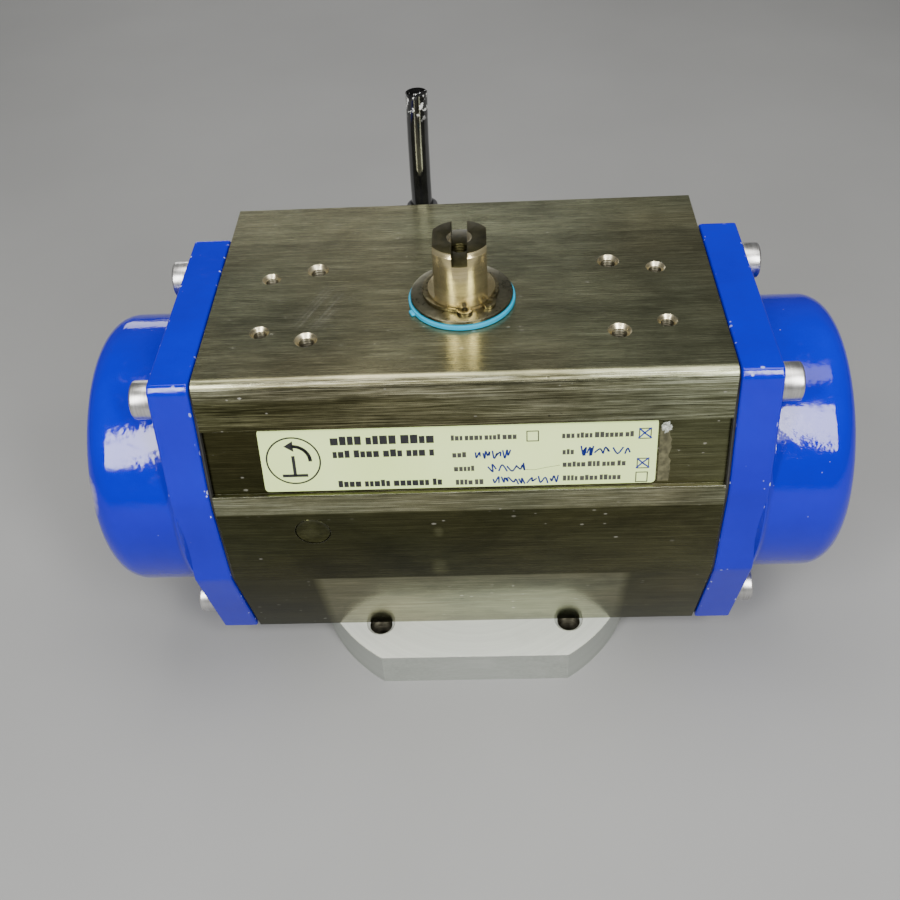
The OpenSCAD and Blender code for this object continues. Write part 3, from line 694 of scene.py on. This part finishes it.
def make_body():
    ob = prism("body_shell", BODY_OUTLINE, 166, at(-HALF, 0, 0) @ YZ_TO_X, [M_BODY, M_EDGE])
    cut = [rod("c", 38, 180, at(-90, 0, AXIS_Z) @ ALONG_X, 128),
           rod("c", 16, 90, at(0, 0, AXIS_Z), 96),
           rod("c", 22.5, AXIS_Z, at(0, 0, 0), 96)]
    boolean(ob, cut)
    cut = []
    for sx, sy in CORNERS:
        cut.append(thread_cutter("c", 2.1, 0.8, 9, at(sx * TOP_HOLES_M5[0], sy * TOP_HOLES_M5[1], TOP), 1.15))
        cut.append(thread_cutter("c", 2.5, 1.0, 11, at(sx * TOP_HOLES_M6[0], sy * TOP_HOLES_M6[1], TOP),
                1.25))
        cut.append(rod("c", 4.1, 15, at(sx * PLATE_SCREWS[0], sy * PLATE_SCREWS[1], 14), 32))
        for y, z in CAP_SCREWS:
            to = at(sx * HALF, sy * y, z) @ (ALONG_X if sx > 0 else MIRROR @ ALONG_X)
            cut.append(rod("c", 4.1, 24, to @ at(0, 0, -22), 32))
    for x, dz, y0 in ((PORT_X, -4, 28), (-PORT_X, 2, 33.5)):
        cut.append(thread_cutter("c", 5.72, 1.34, 10.2, at(x, REAR, PORT_Z) @ TO_Y, 1.1, 64))
        cut.append(rod("c", 2.5, 50 - y0, at(x, y0, PORT_Z + dz) @ TO_Y, 32))
    cut.append(rod("c", 6.0, 9, at(PLUG_X, -52, PLUG_Z) @ TO_Y, 48))
    cut.append(rod("c", 2.5, 180, at(-90, CHANNEL_Y, CHANNEL_Z) @ ALONG_X, 32))
    for c in cut:
        boolean(ob, [c])
    tidy(ob)
    bevel(ob, 0.32, 2, 40, 1)
    ob.data.materials.append(M_THREAD)
    ob.data.materials.append(M_HOLE_SHADE)
    # mouths of the top holes take the thread metal, their deeper walls the near-black metal as painted shade
    for p in ob.data.polygons:
        c = p.center / MM
        if 120 < c.z < 139.99 and any(math.hypot(abs(c.x) - hx, abs(c.y) - hy) < hr
                                      for hx, hy, hr in ((*TOP_HOLES_M5, 3.6), (*TOP_HOLES_M6, 4.1))):
            p.material_index = 2 if c.z > 138.4 else 3
    smooth(ob, 28, True)
    grain_uv(ob)
    stand_for(ob, "housing", "body")
    return ob


make_body()


# ---------------- plate
def make_plate():
    r, flat = 63.0, 52.4
    a = math.degrees(math.asin(flat / r))
    pts = arc((0, 0), r, -a, a, 72) + arc((0, 0), r, 180 - a, 180 + a, 72)
    ob = prism("flange_plate", pts, 15, None, [M_PLATE, M_BRIGHT])
    cut = [rod("c", 20.6, 17, at(0, 0, -1), 128), rod("c", 35, 4.5, at(0, 0, -1), 128)]
    for k in range(4):
        t = math.radians(45 + 90 * k)
        x, y = BOLT_CIRCLE_R * math.cos(t), BOLT_CIRCLE_R * math.sin(t)
        prof = [(0, 16), (6.2, 16), (5.3, 15), (4.25, 13.95)]
        z = 13.8
        while z > 1.6:
            prof += [(4.25, z), (4.85, z - 0.75)]
            z -= 1.5
        prof += [(4.25, z), (4.25, 1.0), (5.25, 0), (5.25, -1), (0, -1)]
        cut.append(lathe("c", prof, 48, at(x, y, 0)))
    for sx, sy in CORNERS:
        screw = at(sx * PLATE_SCREWS[0], sy * PLATE_SCREWS[1], -1)
        cut.append(rod("c", 7, 10, screw, 48))
        cut.append(rod("c", 4.5, 20, screw, 32))
    for c in cut:
        boolean(ob, [c])
    tidy(ob)
    bevel(ob, 0.35, 2, 35, 1)
    ob.data.materials.append(M_HOLE_SHADE)
    ob.data.materials.append(M_PLATE_SIDE_SHADED)
    hole = 36.06  # bolt circle corner along X and Y
    for p in ob.data.polygons:
        c = p.center / MM
        # outer sides take the darker copy of the plate metal: painted shade
        if p.material_index == 0 and abs(p.normal.z) < 0.5 and math.hypot(c.x, c.y) > 52:
            p.material_index = 3
        # hole walls near the bolt circle take the near-black metal: painted shade
        if c.z < 13.97 and math.hypot(abs(c.x) - hole, abs(c.y) - hole) < 5.0:
            p.material_index = 2
    smooth(ob, 28, True)
    stand_for(ob, "housing", "mounting_plate")


make_plate()

# ---------------- end caps
CAP_OUTLINE = [(-36.4, 15.6), (36.4, 15.6), (48.8, 56), (49.6, 59), (49.6, 95), (49.1, 99), (43.8, 137.6),
               (41.9, 139.5), (-39.5, 139.5), (-41.4, 137.6), (-49.1, 99), (-49.6, 95), (-49.6, 59), (-48.8,
                       56)]


def make_cap(left):
    side = "left" if left else "right"
    ob = prism(side + "_cap", CAP_OUTLINE, CAP1 - CAP0, at(CAP0, 0, 0) @ YZ_TO_X, [M_BLUE, M_BLUE_EDGE])
    bevel(ob, 0.9, 4, 12, 1)
    prof = [(0, -2), (DOME_R, -2), (DOME_R + 2.6, -0.5), (DOME_R + 2.4, 0.06)]
    prof += [(DOME_R + 2.4 - 2.4 * math.sin(math.radians(t)), 2.46 - 2.4 * math.cos(math.radians(t)))
             for t in range(15, 91, 15)]
    d = DOME_END - CAP1
    prof += arc((DOME_R - 9, d - 9), 9, 0, 90, 15)
    prof += [(30, d), (12, d), (0, d)]
    dome = lathe("c", prof, 160, at(CAP1, 0, AXIS_Z) @ ALONG_X)
    boolean(ob, [dome], "UNION")
    cut = [rod("c", 41, 119.5 - CAP0 + 1, at(CAP0 - 1, 0, AXIS_Z) @ ALONG_X, 96)]
    for sy in (-1, 1):
        for y, z in CAP_SCREWS:
            cut.append(rod("c", 4.5, 14, at(CAP0 - 1, sy * y, z) @ ALONG_X, 32))
    cut.append(rod("c", 3, 6, at(CAP0 - 1, CHANNEL_Y, CHANNEL_Z) @ ALONG_X, 32))
    for c in cut:
        boolean(ob, [c])
    tidy(ob)
    if left:
        bm = bmesh.new()
        bm.from_mesh(ob.data)
        bmesh.ops.transform(bm, matrix=MIRROR, verts=bm.verts[:])
        bmesh.ops.reverse_faces(bm, faces=bm.faces[:])
        bm.to_mesh(ob.data)
        bm.free()
    smooth(ob, 34, True)
    stand_for(ob, "housing", side + "_end_cap")


make_cap(True)
make_cap(False)


# ---------------- screws
def socket_screw(name, head_r, head_h, shank_r, length, hexa, to, mats):
    e = 0.8
    prof = [(0, -length), (shank_r - 0.8, -length), (shank_r - 0.05, -length + 0.8)]
    z = -length + 1.4
    while z < -2.4:
        prof += [(shank_r - 0.05, z), (shank_r - 0.55, z + 0.62)]
        z += 1.25
    prof += [(shank_r - 0.05, z), (shank_r - 0.05, -0.3), (shank_r, 0), (head_r - 0.35, 0), (head_r, 0.35)]
    prof += arc((head_r - e, head_h - e), e, 0, 90, 6)
    prof += [(hexa / math.sqrt(3) + 0.9, head_h), (0, head_h)]
    ob = lathe(name, prof, 64, to, mats)
    cut = [prism("c", hexagon(hexa / math.sqrt(3)), head_h, to @ at(0, 0, head_h * 0.48)),
           lathe("c", [(0, 0), (hexa / 2 - 0.35, 0), (hexa / 2 + 1.0, 1.35), (0, 1.35)], 48,
                   to @ at(0, 0, head_h - 0.5))]
    for c in cut:
        boolean(ob, [c])
    bevel(ob, 0.12, 1, 40)
    return smooth(ob, 35)


def join(name, obs):
    bm = bmesh.new()
    for o in obs:
        bm.from_mesh(o.data)
    me = bpy.data.meshes.new(name)
    bm.to_mesh(me)
    bm.free()
    for m in obs[0].data.materials:
        me.materials.append(m)
    for o in obs:
        bpy.data.objects.remove(o)
    return link(bpy.data.objects.new(name, me))


def cap_screws(left):
    side = "left" if left else "right"
    obs = []
    turn = 0.0
    for sy in (-1, 1):
        for y, z in CAP_SCREWS:
            turn += 0.37
            to = at(CAP1, sy * y, z) @ ALONG_X @ Matrix.Rotation(turn, 4, "Z")
            if left:
                to = Matrix.Rotation(PI, 4, "Z") @ to
            obs.append(socket_screw("s", 6.2, 7.4, 3.98, 30, 6, to, [M_SCREW]))
    ob = smooth(join(side + "_cap_bolts", obs), 35)
    stand_for(ob, "housing", side + "_cap_screws")


cap_screws(True)
cap_screws(False)

obs = []
for sx, sy in CORNERS:
    to = at(sx * PLATE_SCREWS[0], sy * PLATE_SCREWS[1], 9) @ Matrix.Rotation(PI, 4, "X")
    to = to @ Matrix.Rotation(0.3 * sx + 0.5 * sy, 4, "Z")
    obs.append(socket_screw("s", 6.5, 8.0, 3.98, 18, 6, to, [M_DARKSTEEL]))
ob = smooth(join("plate_bolts", obs), 35)
stand_for(ob, "housing", "plate_screws")


# ---------------- shaft and what sits on it
def ring_profile(r0, r1, z0, z1, e=0.25):
    return [(r0 + e, z0), (r1 - e, z0), (r1, z0 + e), (r1, z1 - e), (r1 - e * 0.3, z1 - e * 0.3),
            (r1 - e, z1),
            (r0 + e, z1), (r0, z1 - e), (r0, z0 + e)]


def make_thrust():
    ob = lathe("thrust_ring", ring_profile(SHAFT_R + 0.4, 17.5, WASHER_Z, WASHER_Z + 1.6, 0.3), 128, None,
            [M_SKY])
    tab = block("c", (15.6, -1.3, 140.05), (18.6, 1.3, 141.1), Matrix.Rotation(math.radians(206), 4, "Z"))
    bevel(tab, 0.35, 3, 30)
    boolean(ob, [tab], "UNION")
    smooth(ob, 35)
    stand_for(ob, "housing", "thrust_washer")
    ob = lathe("steel_ring", ring_profile(SHAFT_R + 0.2, 16.8, WASHER_Z + 1.7, WASHER_Z + 3, 0.28), 128,
            None, [M_WASHER])
    smooth(ob, 35)
    stand_for(ob, "output_shaft", "steel_washer")


make_thrust()


def make_clip():
    base = at(0, 0, CLIP_Z) @ Matrix.Rotation(math.radians(-64), 4, "Z")
    ob = rod("retaining_clip", 12.6, 1.2, base @ at(-0.9, 0, 0), 128)
    ob.data.materials.append(M_CLIP)
    for s in (-1, 1):
        boolean(ob, [rod("c", 2.6, 1.2, base @ Matrix.Rotation(math.radians(21 * s), 4, "Z") @ at(11.6, 0,
                0), 40)], "UNION")
    boolean(ob, [rod("c", SHAFT_R - 0.55, 4, base @ at(0, 0, -1), 128)])
    boolean(ob, [block("c", (8, -2.2, -1), (16, 2.2, 3), base)])
    for s in (-1, 1):
        boolean(ob, [rod("c", 1.0, 4, base @ Matrix.Rotation(math.radians(21 * s), 4, "Z") @ at(11.9, 0, -1),
                24)])
    tidy(ob)
    bevel(ob, 0.16, 2, 40)
    smooth(ob, 35)
    stand_for(ob, "output_shaft", "circlip")


make_clip()


def involute(r, base):
    a = math.acos(min(1, base / r))
    return math.tan(a) - a


def gear_points():
    teeth, pr, base = 14, 14.0, 14 * math.cos(math.radians(20))
    rs = [11.8, base, 13.5, 14, 14.5, 15, 15.5, 16]
    pts = []

    def half(r):
        return PI / 2 / teeth - 0.16 / pr / 2 + involute(pr, base) - involute(max(r, base), base)

    for t in range(teeth):
        c = -PI / 2 + t * 2 * PI / teeth
        pts += [(r * math.cos(c - half(r)), r * math.sin(c - half(r))) for r in rs]
        pts += [(r * math.cos(c + half(r)), r * math.sin(c + half(r))) for r in reversed(rs)]
    return pts


def make_shaft():
    def o_groove(z, h, r, d):
        return [(r, z), (r - d, z), (r - d, z + h), (r, z + h)]

    r, top, groove = SHAFT_R, SHAFT_TOP, SHAFT_R - 0.6
    slot_z = top - 4
    prof = [(0, 4), (19.5, 4), (20, 4.5)] + o_groove(30, 3.6, 20, 2.9)
    prof += [(20, 59.4), (19.4, 60), (11.4, 60), (11.4, 96), (12.9, 96), (13.5, 96.6)]
    prof += o_groove(124, 3.2, 13.5, 2.5) + [(13.5, 138.8), (12.9, 139.4), (r, 139.4)]
    prof += [(r, 143), (groove, 143), (groove, 144.4), (r, 144.4), (r, top - 1.2), (r - 1.2, top), (0, top)]
    ob = lathe("output_spindle", prof, 128, None, [M_SHAFT, M_SHAFT_SHADED, M_THREAD])
    gear = prism("c", gear_points(), 32, at(0, 0, 62))
    boolean(ob, [gear], "UNION")
    cut = [block("c", (-11, -11, 3), (11, 11, 28), Matrix.Rotation(turn, 4, "Z")) for turn in (0, PI / 4)]
    for x in (-18.5, 8.5):
        cut.append(block("c", (x, -15, top - 18), (x + 10, 15, top + 4)))
    cut.append(block("c", (-2.5, -15, slot_z), (2.5, 15, top + 2.5)))
    cut.append(thread_cutter("c", 2.5, 1.0, 14, at(0, 0, slot_z), 0.2))
    cut.append(lathe("c", [(0, 0), (2.5, 0), (4.05, 1.55), (4.05, 4), (0, 4)], 64, at(0, 0, top - 1.5)))
    for c in cut:
        boolean(ob, [c])
    tidy(ob)
    bevel(ob, 0.22, 2, 38)
    # top face, slot walls and bore take the darker nickel as painted shade; the bore's chamfered mouth takes
    # the thread metal
    for p in ob.data.polygons:
        c = p.center / MM
        wall = abs(c.x) < 2.56 and c.z > slot_z - 0.2 and max(abs(p.normal.x), p.normal.z) > 0.9
        if (c.z > top - 1.5 and p.normal.z > 0.95) or wall or (144 < c.z < top - 1.3 and math.hypot(c.x,
                c.y) < 2.7):
            p.material_index = 1
        elif c.z > top - 1.5 and math.hypot(c.x, c.y) < 4.2:
            p.material_index = 2
    smooth(ob, 30)
    stand_for(ob, "output_shaft", "pinion")


make_shaft()

# ---------------- springs
def make_spring(name, node, sign, mid, wire, turns, per):
    x0, x1 = 52.1, 119.4
    inner = x1 - x0 - 2 * wire
    close = 2.15 * wire
    bm = bmesh.new()
    rings = []
    n = turns * per
    sides = 14
    for i in range(n + 1):
        t = i / per
        if t < 1:
            x = close * t
        elif t > turns - 1:
            x = inner - close * (turns - t)
        else:
            x = close + (inner - 2 * close) * (t - 1) / (turns - 2)
        a = 2 * PI * t
        ring = []
        for j in range(sides):
            b = 2 * PI * j / sides
            r = mid + wire * math.cos(b)
            ring.append(bm.verts.new((sign * (x0 + wire + x + wire * math.sin(b)), sign * r * math.cos(a),
                    AXIS_Z + r * math.sin(a))))
        rings.append(ring)
    for a, b in zip(rings, rings[1:]):
        skin(bm, a, b)
    bm.faces.new(rings[0][::-1])
    bm.faces.new(rings[-1])
    ob = smooth(from_bm(name, bm, [M_SPRING]), 50)
    stand_for(ob, "housing", node)
    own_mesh(ob)


for side, sign in (("left", -1), ("right", 1)):
    make_spring(side + "_coil_outer", side + "_outer_spring", sign, 26.2, 2.15, 7, 40)
    make_spring(side + "_coil_inner", side + "_inner_spring", sign, 15.6, 1.55, 9, 32)


# ---------------- fitting
def make_fitting():
    o = at(-PORT_X, 0, PORT_Z)
    elbow = at(-PORT_X, HOSE_Y, PORT_Z)
    prof = [(0, 50.5), (4.9, 50.5), (5.62, 51.2)]
    y = 51.8
    while y < 60:
        prof += [(5.62, y), (5.05, y + 0.66)]
        y += 1.34
    prof += [(5.3, 61.4), (5.3, 64), (6.2, 66.5), (6.6, 67), (6.6, HOSE_Y), (0, HOSE_Y)]
    ob = lathe("elbow_body", prof, 64, o @ TO_Y, [M_FITTING])
    up = [(0, 0), (7.0, 0), (7.0, 8.5), (6.55, 9), (6.55, 10.2), (7.0, 10.7), (7.0, 21.6), (6.7, 22.4),
            (6.0, 23.3),
          (5.8, 23.5), (0, 23.5)]
    arm = lathe("c", up, 64, elbow)
    boolean(ob, [arm], "UNION")
    ball = arc((0, 0), 7.35, -90, 90, 30)
    ball[0], ball[-1] = (0, -7.35), (0, 7.35)
    boolean(ob, [lathe("c", ball, 64, elbow)], "UNION")
    for s in (-1, 1):
        rib = block("c", (-0.7, 0, -5), (0.7, 6.6, 16),
                elbow @ Matrix.Rotation(s * PI / 2, 4, "Z") @ at(0, 1, 0))
        boolean(ob, [rib], "UNION")
    for c in (rod("c", 2.8, 36.5, o @ at(0, 40.5, 0) @ TO_Y, 32), rod("c", 2.8, 8, elbow, 32),
              rod("c", 4.1, 30, elbow @ at(0, 0, 7), 48), rod("c", 5.2, 30, elbow @ at(0, 0, 13), 48)):
        boolean(ob, [c])
    tidy(ob)
    bevel(ob, 0.2, 2, 40)
    smooth(ob, 35)
    nut = prism("elbow_hex", hexagon(8.66), 5, o @ at(0, REAR + 1.5, 0) @ TO_Y, [M_NICKEL])
    keep = lathe("c", [(0, 0), (7.7, 0), (8.9, 0.75), (8.9, 4.25), (7.7, 5), (0, 5)], 64,
            o @ at(0, REAR + 1.5, 0) @ TO_Y)
    boolean(nut, [keep], "INTERSECT")
    boolean(nut, [rod("c", 6.65, 8, o @ at(0, REAR + 0.5, 0) @ TO_Y, 48)])
    bevel(nut, 0.15, 2, 25)
    smooth(nut, 25)
    for p in (ob, nut):
        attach(p, "swivel_elbow")
    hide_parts("elbow_fitting")


def make_collet():
    to = at(-PORT_X, HOSE_Y, 0)
    prof = [(4.1, 118.6), (4.7, 118.6), (5.1, 119.2), (5.1, 129.0), (5.6, 129.0), (5.9, 129.3), (5.9, 130.6),
            (5.7, 130.9), (5.4, 131.0), (4.5, 131.0), (4.1, 130.6)]
    ob = lathe("release_ring", prof, 64, to, [M_FITTING])
    for k in range(4):
        boolean(ob, [block("c", (-0.35, 3, 118), (0.35, 7, 127.2),
                to @ Matrix.Rotation(k * PI / 2 + 0.4, 4, "Z"))])
    bevel(ob, 0.08, 1, 40)
    smooth(ob, 35)
    stand_for(ob, "collet", "release_collet")


make_fitting()
make_collet()

# ---------------- sticker
LEAN = math.atan2(RECESS_HIGH[0] - RECESS_LOW[0], RECESS_HIGH[1] - RECESS_LOW[1])
TO_LABEL = at(0, *RECESS_LOW) @ Matrix.Rotation(-LEAN, 4, "X") @ Matrix.Rotation(PI / 2, 4, "X")


def sticker_material():
    g = Nodes("sticker_film")
    n = g.noise(g.obj, 30, 3.0, 0.5)
    f = g.noise(g.obj, 900, 2.0, 0.5)
    col = g.ramp(n, [(0.3, (0.74, 0.92, 0.34)), (0.7, (0.82, 0.99, 0.42))])
    smudge = g.ramp(g.noise(g.mapping((20, 90, 90), loc=(1, 2, 3)), 1.0, 4.0, 0.65),
            [(0.6, 0.0), (0.78, 0.35)])
    col = g.mix(smudge, col, (0.45, 0.47, 0.38))
    return g.set(color=col, rough=g.remap(f, 0.3, 0.7, 0.28, 0.40), normal=g.bump(n, 0.12, 0.0004),
            coat=0.25, coat_rough=0.15)


def flat_piece(name, polys, z0, thick, mat):
    """Thin printed or stuck shapes in the sticker's own plane: x along the body, y up the recess."""
    bm = bmesh.new()
    for pts in polys:
        slab(bm, pts, z0, z0 + thick)
    ob = smooth(from_bm(name, bm, [mat], TO_LABEL), 30)
    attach(ob, "housing")
    return ob


def stroke(pts, w):
    """Polygons of a drawn line of width w through the points."""
    out = []
    for (x0, y0), (x1, y1) in zip(pts, pts[1:]):
        dx, dy = x1 - x0, y1 - y0
        d = math.hypot(dx, dy) or 1
        nx, ny = -dy / d * w / 2, dx / d * w / 2
        ex, ey = dx / d * w * 0.3, dy / d * w * 0.3
        out.append([(x0 + nx - ex, y0 + ny - ey), (x0 - nx - ex, y0 - ny - ey), (x1 - nx + ex, y1 - ny + ey),
                (x1 + nx + ex, y1 + ny + ey)])
    return out


def curve(knots, per=6):
    """Points of a smooth line through the knots."""
    ext = [knots[0]] + knots + [knots[-1]]
    out = []
    for p0, p1, p2, p3 in zip(ext, ext[1:], ext[2:], ext[3:]):
        for i in range(per):
            t = i / per
            out.append(tuple(
                0.5 * (2 * b + (c - a) * t + (2 * a - 5 * b + 4 * c - d) * t * t
                       + (3 * b - a - 3 * c + d) * t ** 3)
                for a, b, c, d in zip(p0, p1, p2, p3)))
    return out + [knots[-1]]


def make_sticker():
    x0, x1, y0, y1 = -65.5, 60.5, 0.7, 24.3
    pts = arc((x0 + 1.6, y1 - 1.6), 1.6, 180, 90, 6) + arc((x1 - 1.4, y1 - 1.4), 1.4, 90, 0, 6)
    pts += arc((x1 - 1.4, y0 + 1.4), 1.4, 0, -90, 6) + arc((x0 + 1.4, y0 + 1.4), 1.4, 270, 180, 6)
    pts = pts[::-1]
    ob = flat_piece("sticker", [pts], 0.02, 0.19, sticker_material())
    bevel(ob, 0.05, 1, 60)
    smooth(ob, 30)
    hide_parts("label")
    ink = plain("ink_black", (0.008, 0.008, 0.010), (0.020, 0.020, 0.022), (0.3, 0.4), 800, 0.05)
    grey = plain("ink_grey", (0.035, 0.036, 0.03), (0.06, 0.06, 0.052), (0.35, 0.45), 800, 0.05)
    pen = plain("ink_pen", (0.004, 0.012, 0.20), (0.008, 0.03, 0.30), (0.3, 0.4), 500, 0.05)
    polys = []
    # generic pictogram: a round dial with a quarter-turn arrow
    cx, cy = -55.0, 12.4
    polys += stroke(arc((cx, cy), 8.6, 0, 360, 48), 0.55)
    polys += stroke(arc((cx, cy), 5.4, 0, 90, 15), 1.2)
    polys.append([(cx - 2.6, cy + 5.4), (cx + 0.4, cy + 7.4), (cx + 0.4, cy + 3.4)])
    polys += stroke([(cx, cy - 5.6), (cx, cy + 1.5)], 1.1)
    polys += stroke([(cx - 3.8, cy - 5.6), (cx + 3.8, cy - 5.6)], 1.1)
    # lines of small blocks where lines of print stand
    rnd = random.Random(11)

    def words(bx0, bx1, y, h, block_w, gap, space):
        out = []
        x = bx0
        left = rnd.choice((3, 4, 5))
        while x + block_w < bx1 + 0.01:
            w = block_w * rnd.uniform(0.75, 1.2)
            up = h * rnd.choice((0.36, 0.36, 0.5))
            out.append([(x, y - h * 0.36), (x + w, y - h * 0.36), (x + w, y + up), (x, y + up)])
            x += w + gap
            left -= 1
            if left == 0:
                x += space
                left = rnd.choice((3, 4, 5, 6))
        return out

    polys += words(-42.6, -9.6, 19.1, 3.7, 2.2, 0.42, 1.1)
    polys += words(-42.2, -9.4, 14.2, 3.2, 1.75, 0.36, 1.0)
    polys += words(-41.4, -7.2, 2.9, 2.9, 1.6, 0.34, 0.9)
    flat_piece("sticker_print_bold", polys, 0.215, 0.03, ink)
    polys = []
    for bx0, bx1, y in ((-4.3, 17.4, 19.2), (-4.1, 0.4, 12.9), (-3.8, 4.0, 7.7), (-3.4, 6.8, 2.5),
                        (30.6, 53.2, 19.0), (30.8, 34.8, 13.0), (30.9, 51.0, 8.3), (31.0, 49.8, 3.1)):
        polys += words(bx0, bx1, y, 2.3, 1.15, 0.30, 0.45)
    for bx, by in ((21.4, 19.3), (56.5, 19.2), (56.3, 8.2), (56.1, 3.0)):
        s = 1.8
        polys += stroke([(bx - s, by - s), (bx + s, by - s), (bx + s, by + s), (bx - s, by + s),
                (bx - s, by - s)], 0.36)
    flat_piece("sticker_print_fine", polys, 0.215, 0.03, grey)
    polys = []
    for bx, by in ((56.5, 19.2), (56.3, 8.2)):
        polys += stroke([(bx - 2.0, by - 1.7), (bx - 0.3, by + 0.1), (bx + 1.8, by + 1.9)], 0.5)
        polys += stroke([(bx - 1.8, by + 1.8), (bx + 0.2, by - 0.2), (bx + 2.0, by - 1.6)], 0.5)
    rnd = random.Random(3)
    for bx0, bx1, y, a in ((2.8, 14.4, 12.9, 1.35), (7.4, 18.8, 7.9, 1.35), (8.8, 28.4, 2.9, 1.35),
            (36.6, 54.0, 13.4, 1.7)):
        x = bx0
        while x < bx1 - 1.2:
            wide = rnd.uniform(1.5, 3.0)
            n = rnd.choice((3, 4, 5, 6))
            up = rnd.choice((-1, 1))
            knots = []
            for i in range(n):
                knots.append((x + wide * i / (n - 1) + rnd.uniform(-0.6, 0.6),
                        y + up * a * rnd.uniform(0.2, 1.1)))
                up = -up
            polys += stroke(curve(knots), 0.52)
            x += wide + rnd.uniform(0.6, 1.0)
    flat_piece("sticker_pen_marks", polys, 0.25, 0.02, pen)
    polys = stroke([(18.6, 6.9), (22.0, 6.7), (25.5, 7.5), (30.0, 8.2)], 0.14)
    flat_piece("sticker_scratch", polys, 0.215, 0.01, grey)


def make_residue():
    g = Nodes("glue_residue")
    n = g.noise(g.obj, 500, 4.0, 0.6)
    col = g.ramp(n, [(0.35, (0.045, 0.042, 0.020)), (0.65, (0.12, 0.113, 0.058))])
    mat = g.set(color=col, rough=g.remap(n, 0.3, 0.7, 0.35, 0.6), normal=g.bump(n, 0.3, 0.0002))
    rnd = random.Random(5)
    pts = [(61.2, 1.2)]
    for k in range(12):
        pts.append((64.6 + rnd.uniform(-0.5, 0.5), 1.2 + k * 1.55))
    pts += [(64.2, 20.4), (61.2, 20.8)]
    flat_piece("glue_strip", [pts], 0.0, 0.07, mat)
    film = Nodes("film_clear")
    c = film.noise(film.obj, 700, 3.0, 0.6)
    film.set(color=film.ramp(c, [(0.4, (0.40, 0.42, 0.36)), (0.6, (0.75, 0.78, 0.70))]), rough=0.12,
            alpha=0.45,
             normal=film.bump(c, 0.6, 0.0003))
    bm = bmesh.new()
    grid = [[bm.verts.new((61.6 + i * 0.75 + rnd.uniform(-0.2, 0.2),
            19.2 + j * 0.8 + rnd.uniform(-0.25, 0.25),
                           0.12 + rnd.uniform(0.0, 0.55))) for i in range(5)] for j in range(6)]
    for j in range(5):
        for i in range(4):
            if (i, j) not in ((0, 0), (3, 4), (3, 0)):
                bm.faces.new((grid[j][i], grid[j][i + 1], grid[j + 1][i + 1], grid[j + 1][i]))
    bmesh.ops.delete(bm, geom=[v for v in bm.verts if not v.link_faces], context="VERTS")
    bmesh.ops.solidify(bm, geom=bm.faces[:], thickness=0.05)
    ob = from_bm("film_scrap", bm, [film.mat], TO_LABEL)
    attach(ob, "housing")


make_sticker()
make_residue()


def make_plug():
    prof = [(0, 5.4), (0.01, 5.4), (5.9, 5.4), (5.9, 0.35), (5.6, 0.12), (5.2, 0.3), (4.2, 0.42),
            (2.0, 0.25), (0, 0.3)]
    ob = lathe("drilling_plug", prof, 64, at(PLUG_X, -48.75, PLUG_Z) @ TO_Y, [M_BODY])
    smooth(ob, 40)
    grain_uv(ob)
    stand_for(ob, "housing", "channel_plug")


make_plug()

# ---------------- materials of the CAD nodes that stay
BOTH = ("left_", "right_")
KEEP = {side + part: mat for side in BOTH for part, mat in (
    ("gasket", M_RUBBER), ("piston", M_PISTON), ("piston_oring", M_RUBBER), ("guide_ring", M_WHITE),
    ("rack_pad", M_WHITE))}
KEEP.update({"top_bearing": M_WHITE, "bottom_bearing": M_WHITE, "pinion_upper_oring": M_RUBBER,
             "pinion_lower_oring": M_RUBBER, "fitting_seal": M_RUBBER, "tube_seal": M_RUBBER})
for name, mat in KEEP.items():
    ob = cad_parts[name]
    ob = ob if isinstance(ob, bpy.types.Object) else bpy.data.objects[name]
    if not ob.data.materials:
        ob.data.materials.append(mat)
    for surface in ob.material_slots:
        surface.material = mat


# ---------------- floor, light, world
def floor():
    bm = bmesh.new()
    s = 3000.0
    vs = [bm.verts.new(v) for v in ((-s, -s, 0), (s, -s, 0), (s, s, 0), (-s, s, 0))]
    bm.faces.new(vs)
    g = Nodes("floor_pale")
    n = g.noise(g.obj, 6, 4.0, 0.5)
    f = g.noise(g.obj, 400, 3.0, 0.5)
    col = g.ramp(n, [(0.3, (0.275, 0.275, 0.27)), (0.7, (0.305, 0.305, 0.30))])
    mat = g.set(color=col, rough=0.75, normal=g.bump(f, 0.05, 0.0002))
    ob = from_bm("floor", bm, [mat])


def area(name, loc, target, size, size_y, power, color=(1, 1, 1)):
    li = bpy.data.lights.new(name, "AREA")
    li.shape = "RECTANGLE"
    li.size = size
    li.size_y = size_y
    li.energy = power
    li.color = color
    ob = link(bpy.data.objects.new(name, li))
    ob.location = loc
    d = Vector(target) - Vector(loc)
    ob.rotation_euler = d.to_track_quat("-Z", "Y").to_euler()
    return ob


floor()
area("window", (0.0, -0.94, 0.99), (0, 0, 0.08), 0.95, 0.50, 6.5, (1.0, 0.99, 0.97))
area("strip_left", (-0.376, -0.59, 0.623), (-0.111, -0.036, 0.111), 0.12, 0.52, 5.4, (1.0, 1.0, 0.99))
area("strip_right", (0.376, -0.59, 0.623), (0.111, -0.036, 0.111), 0.15, 0.52, 6.2, (1.0, 1.0, 0.99))
area("overhead", (0.04, 0.05, 0.95), (0, 0, 0.08), 0.80, 0.40, 5.2, (1.0, 0.985, 0.95))
area("fill_back", (-0.25, 1.45, 0.34), (0, 0, 0.08), 0.90, 0.30, 3.2, (1.0, 0.99, 0.98))
w = bpy.data.worlds.new("studio")
w.use_nodes = True
bg = w.node_tree.nodes["Background"]
bg.inputs[0].default_value = (0.86, 0.88, 0.90, 1)
bg.inputs[1].default_value = 0.14
bpy.context.scene.world = w
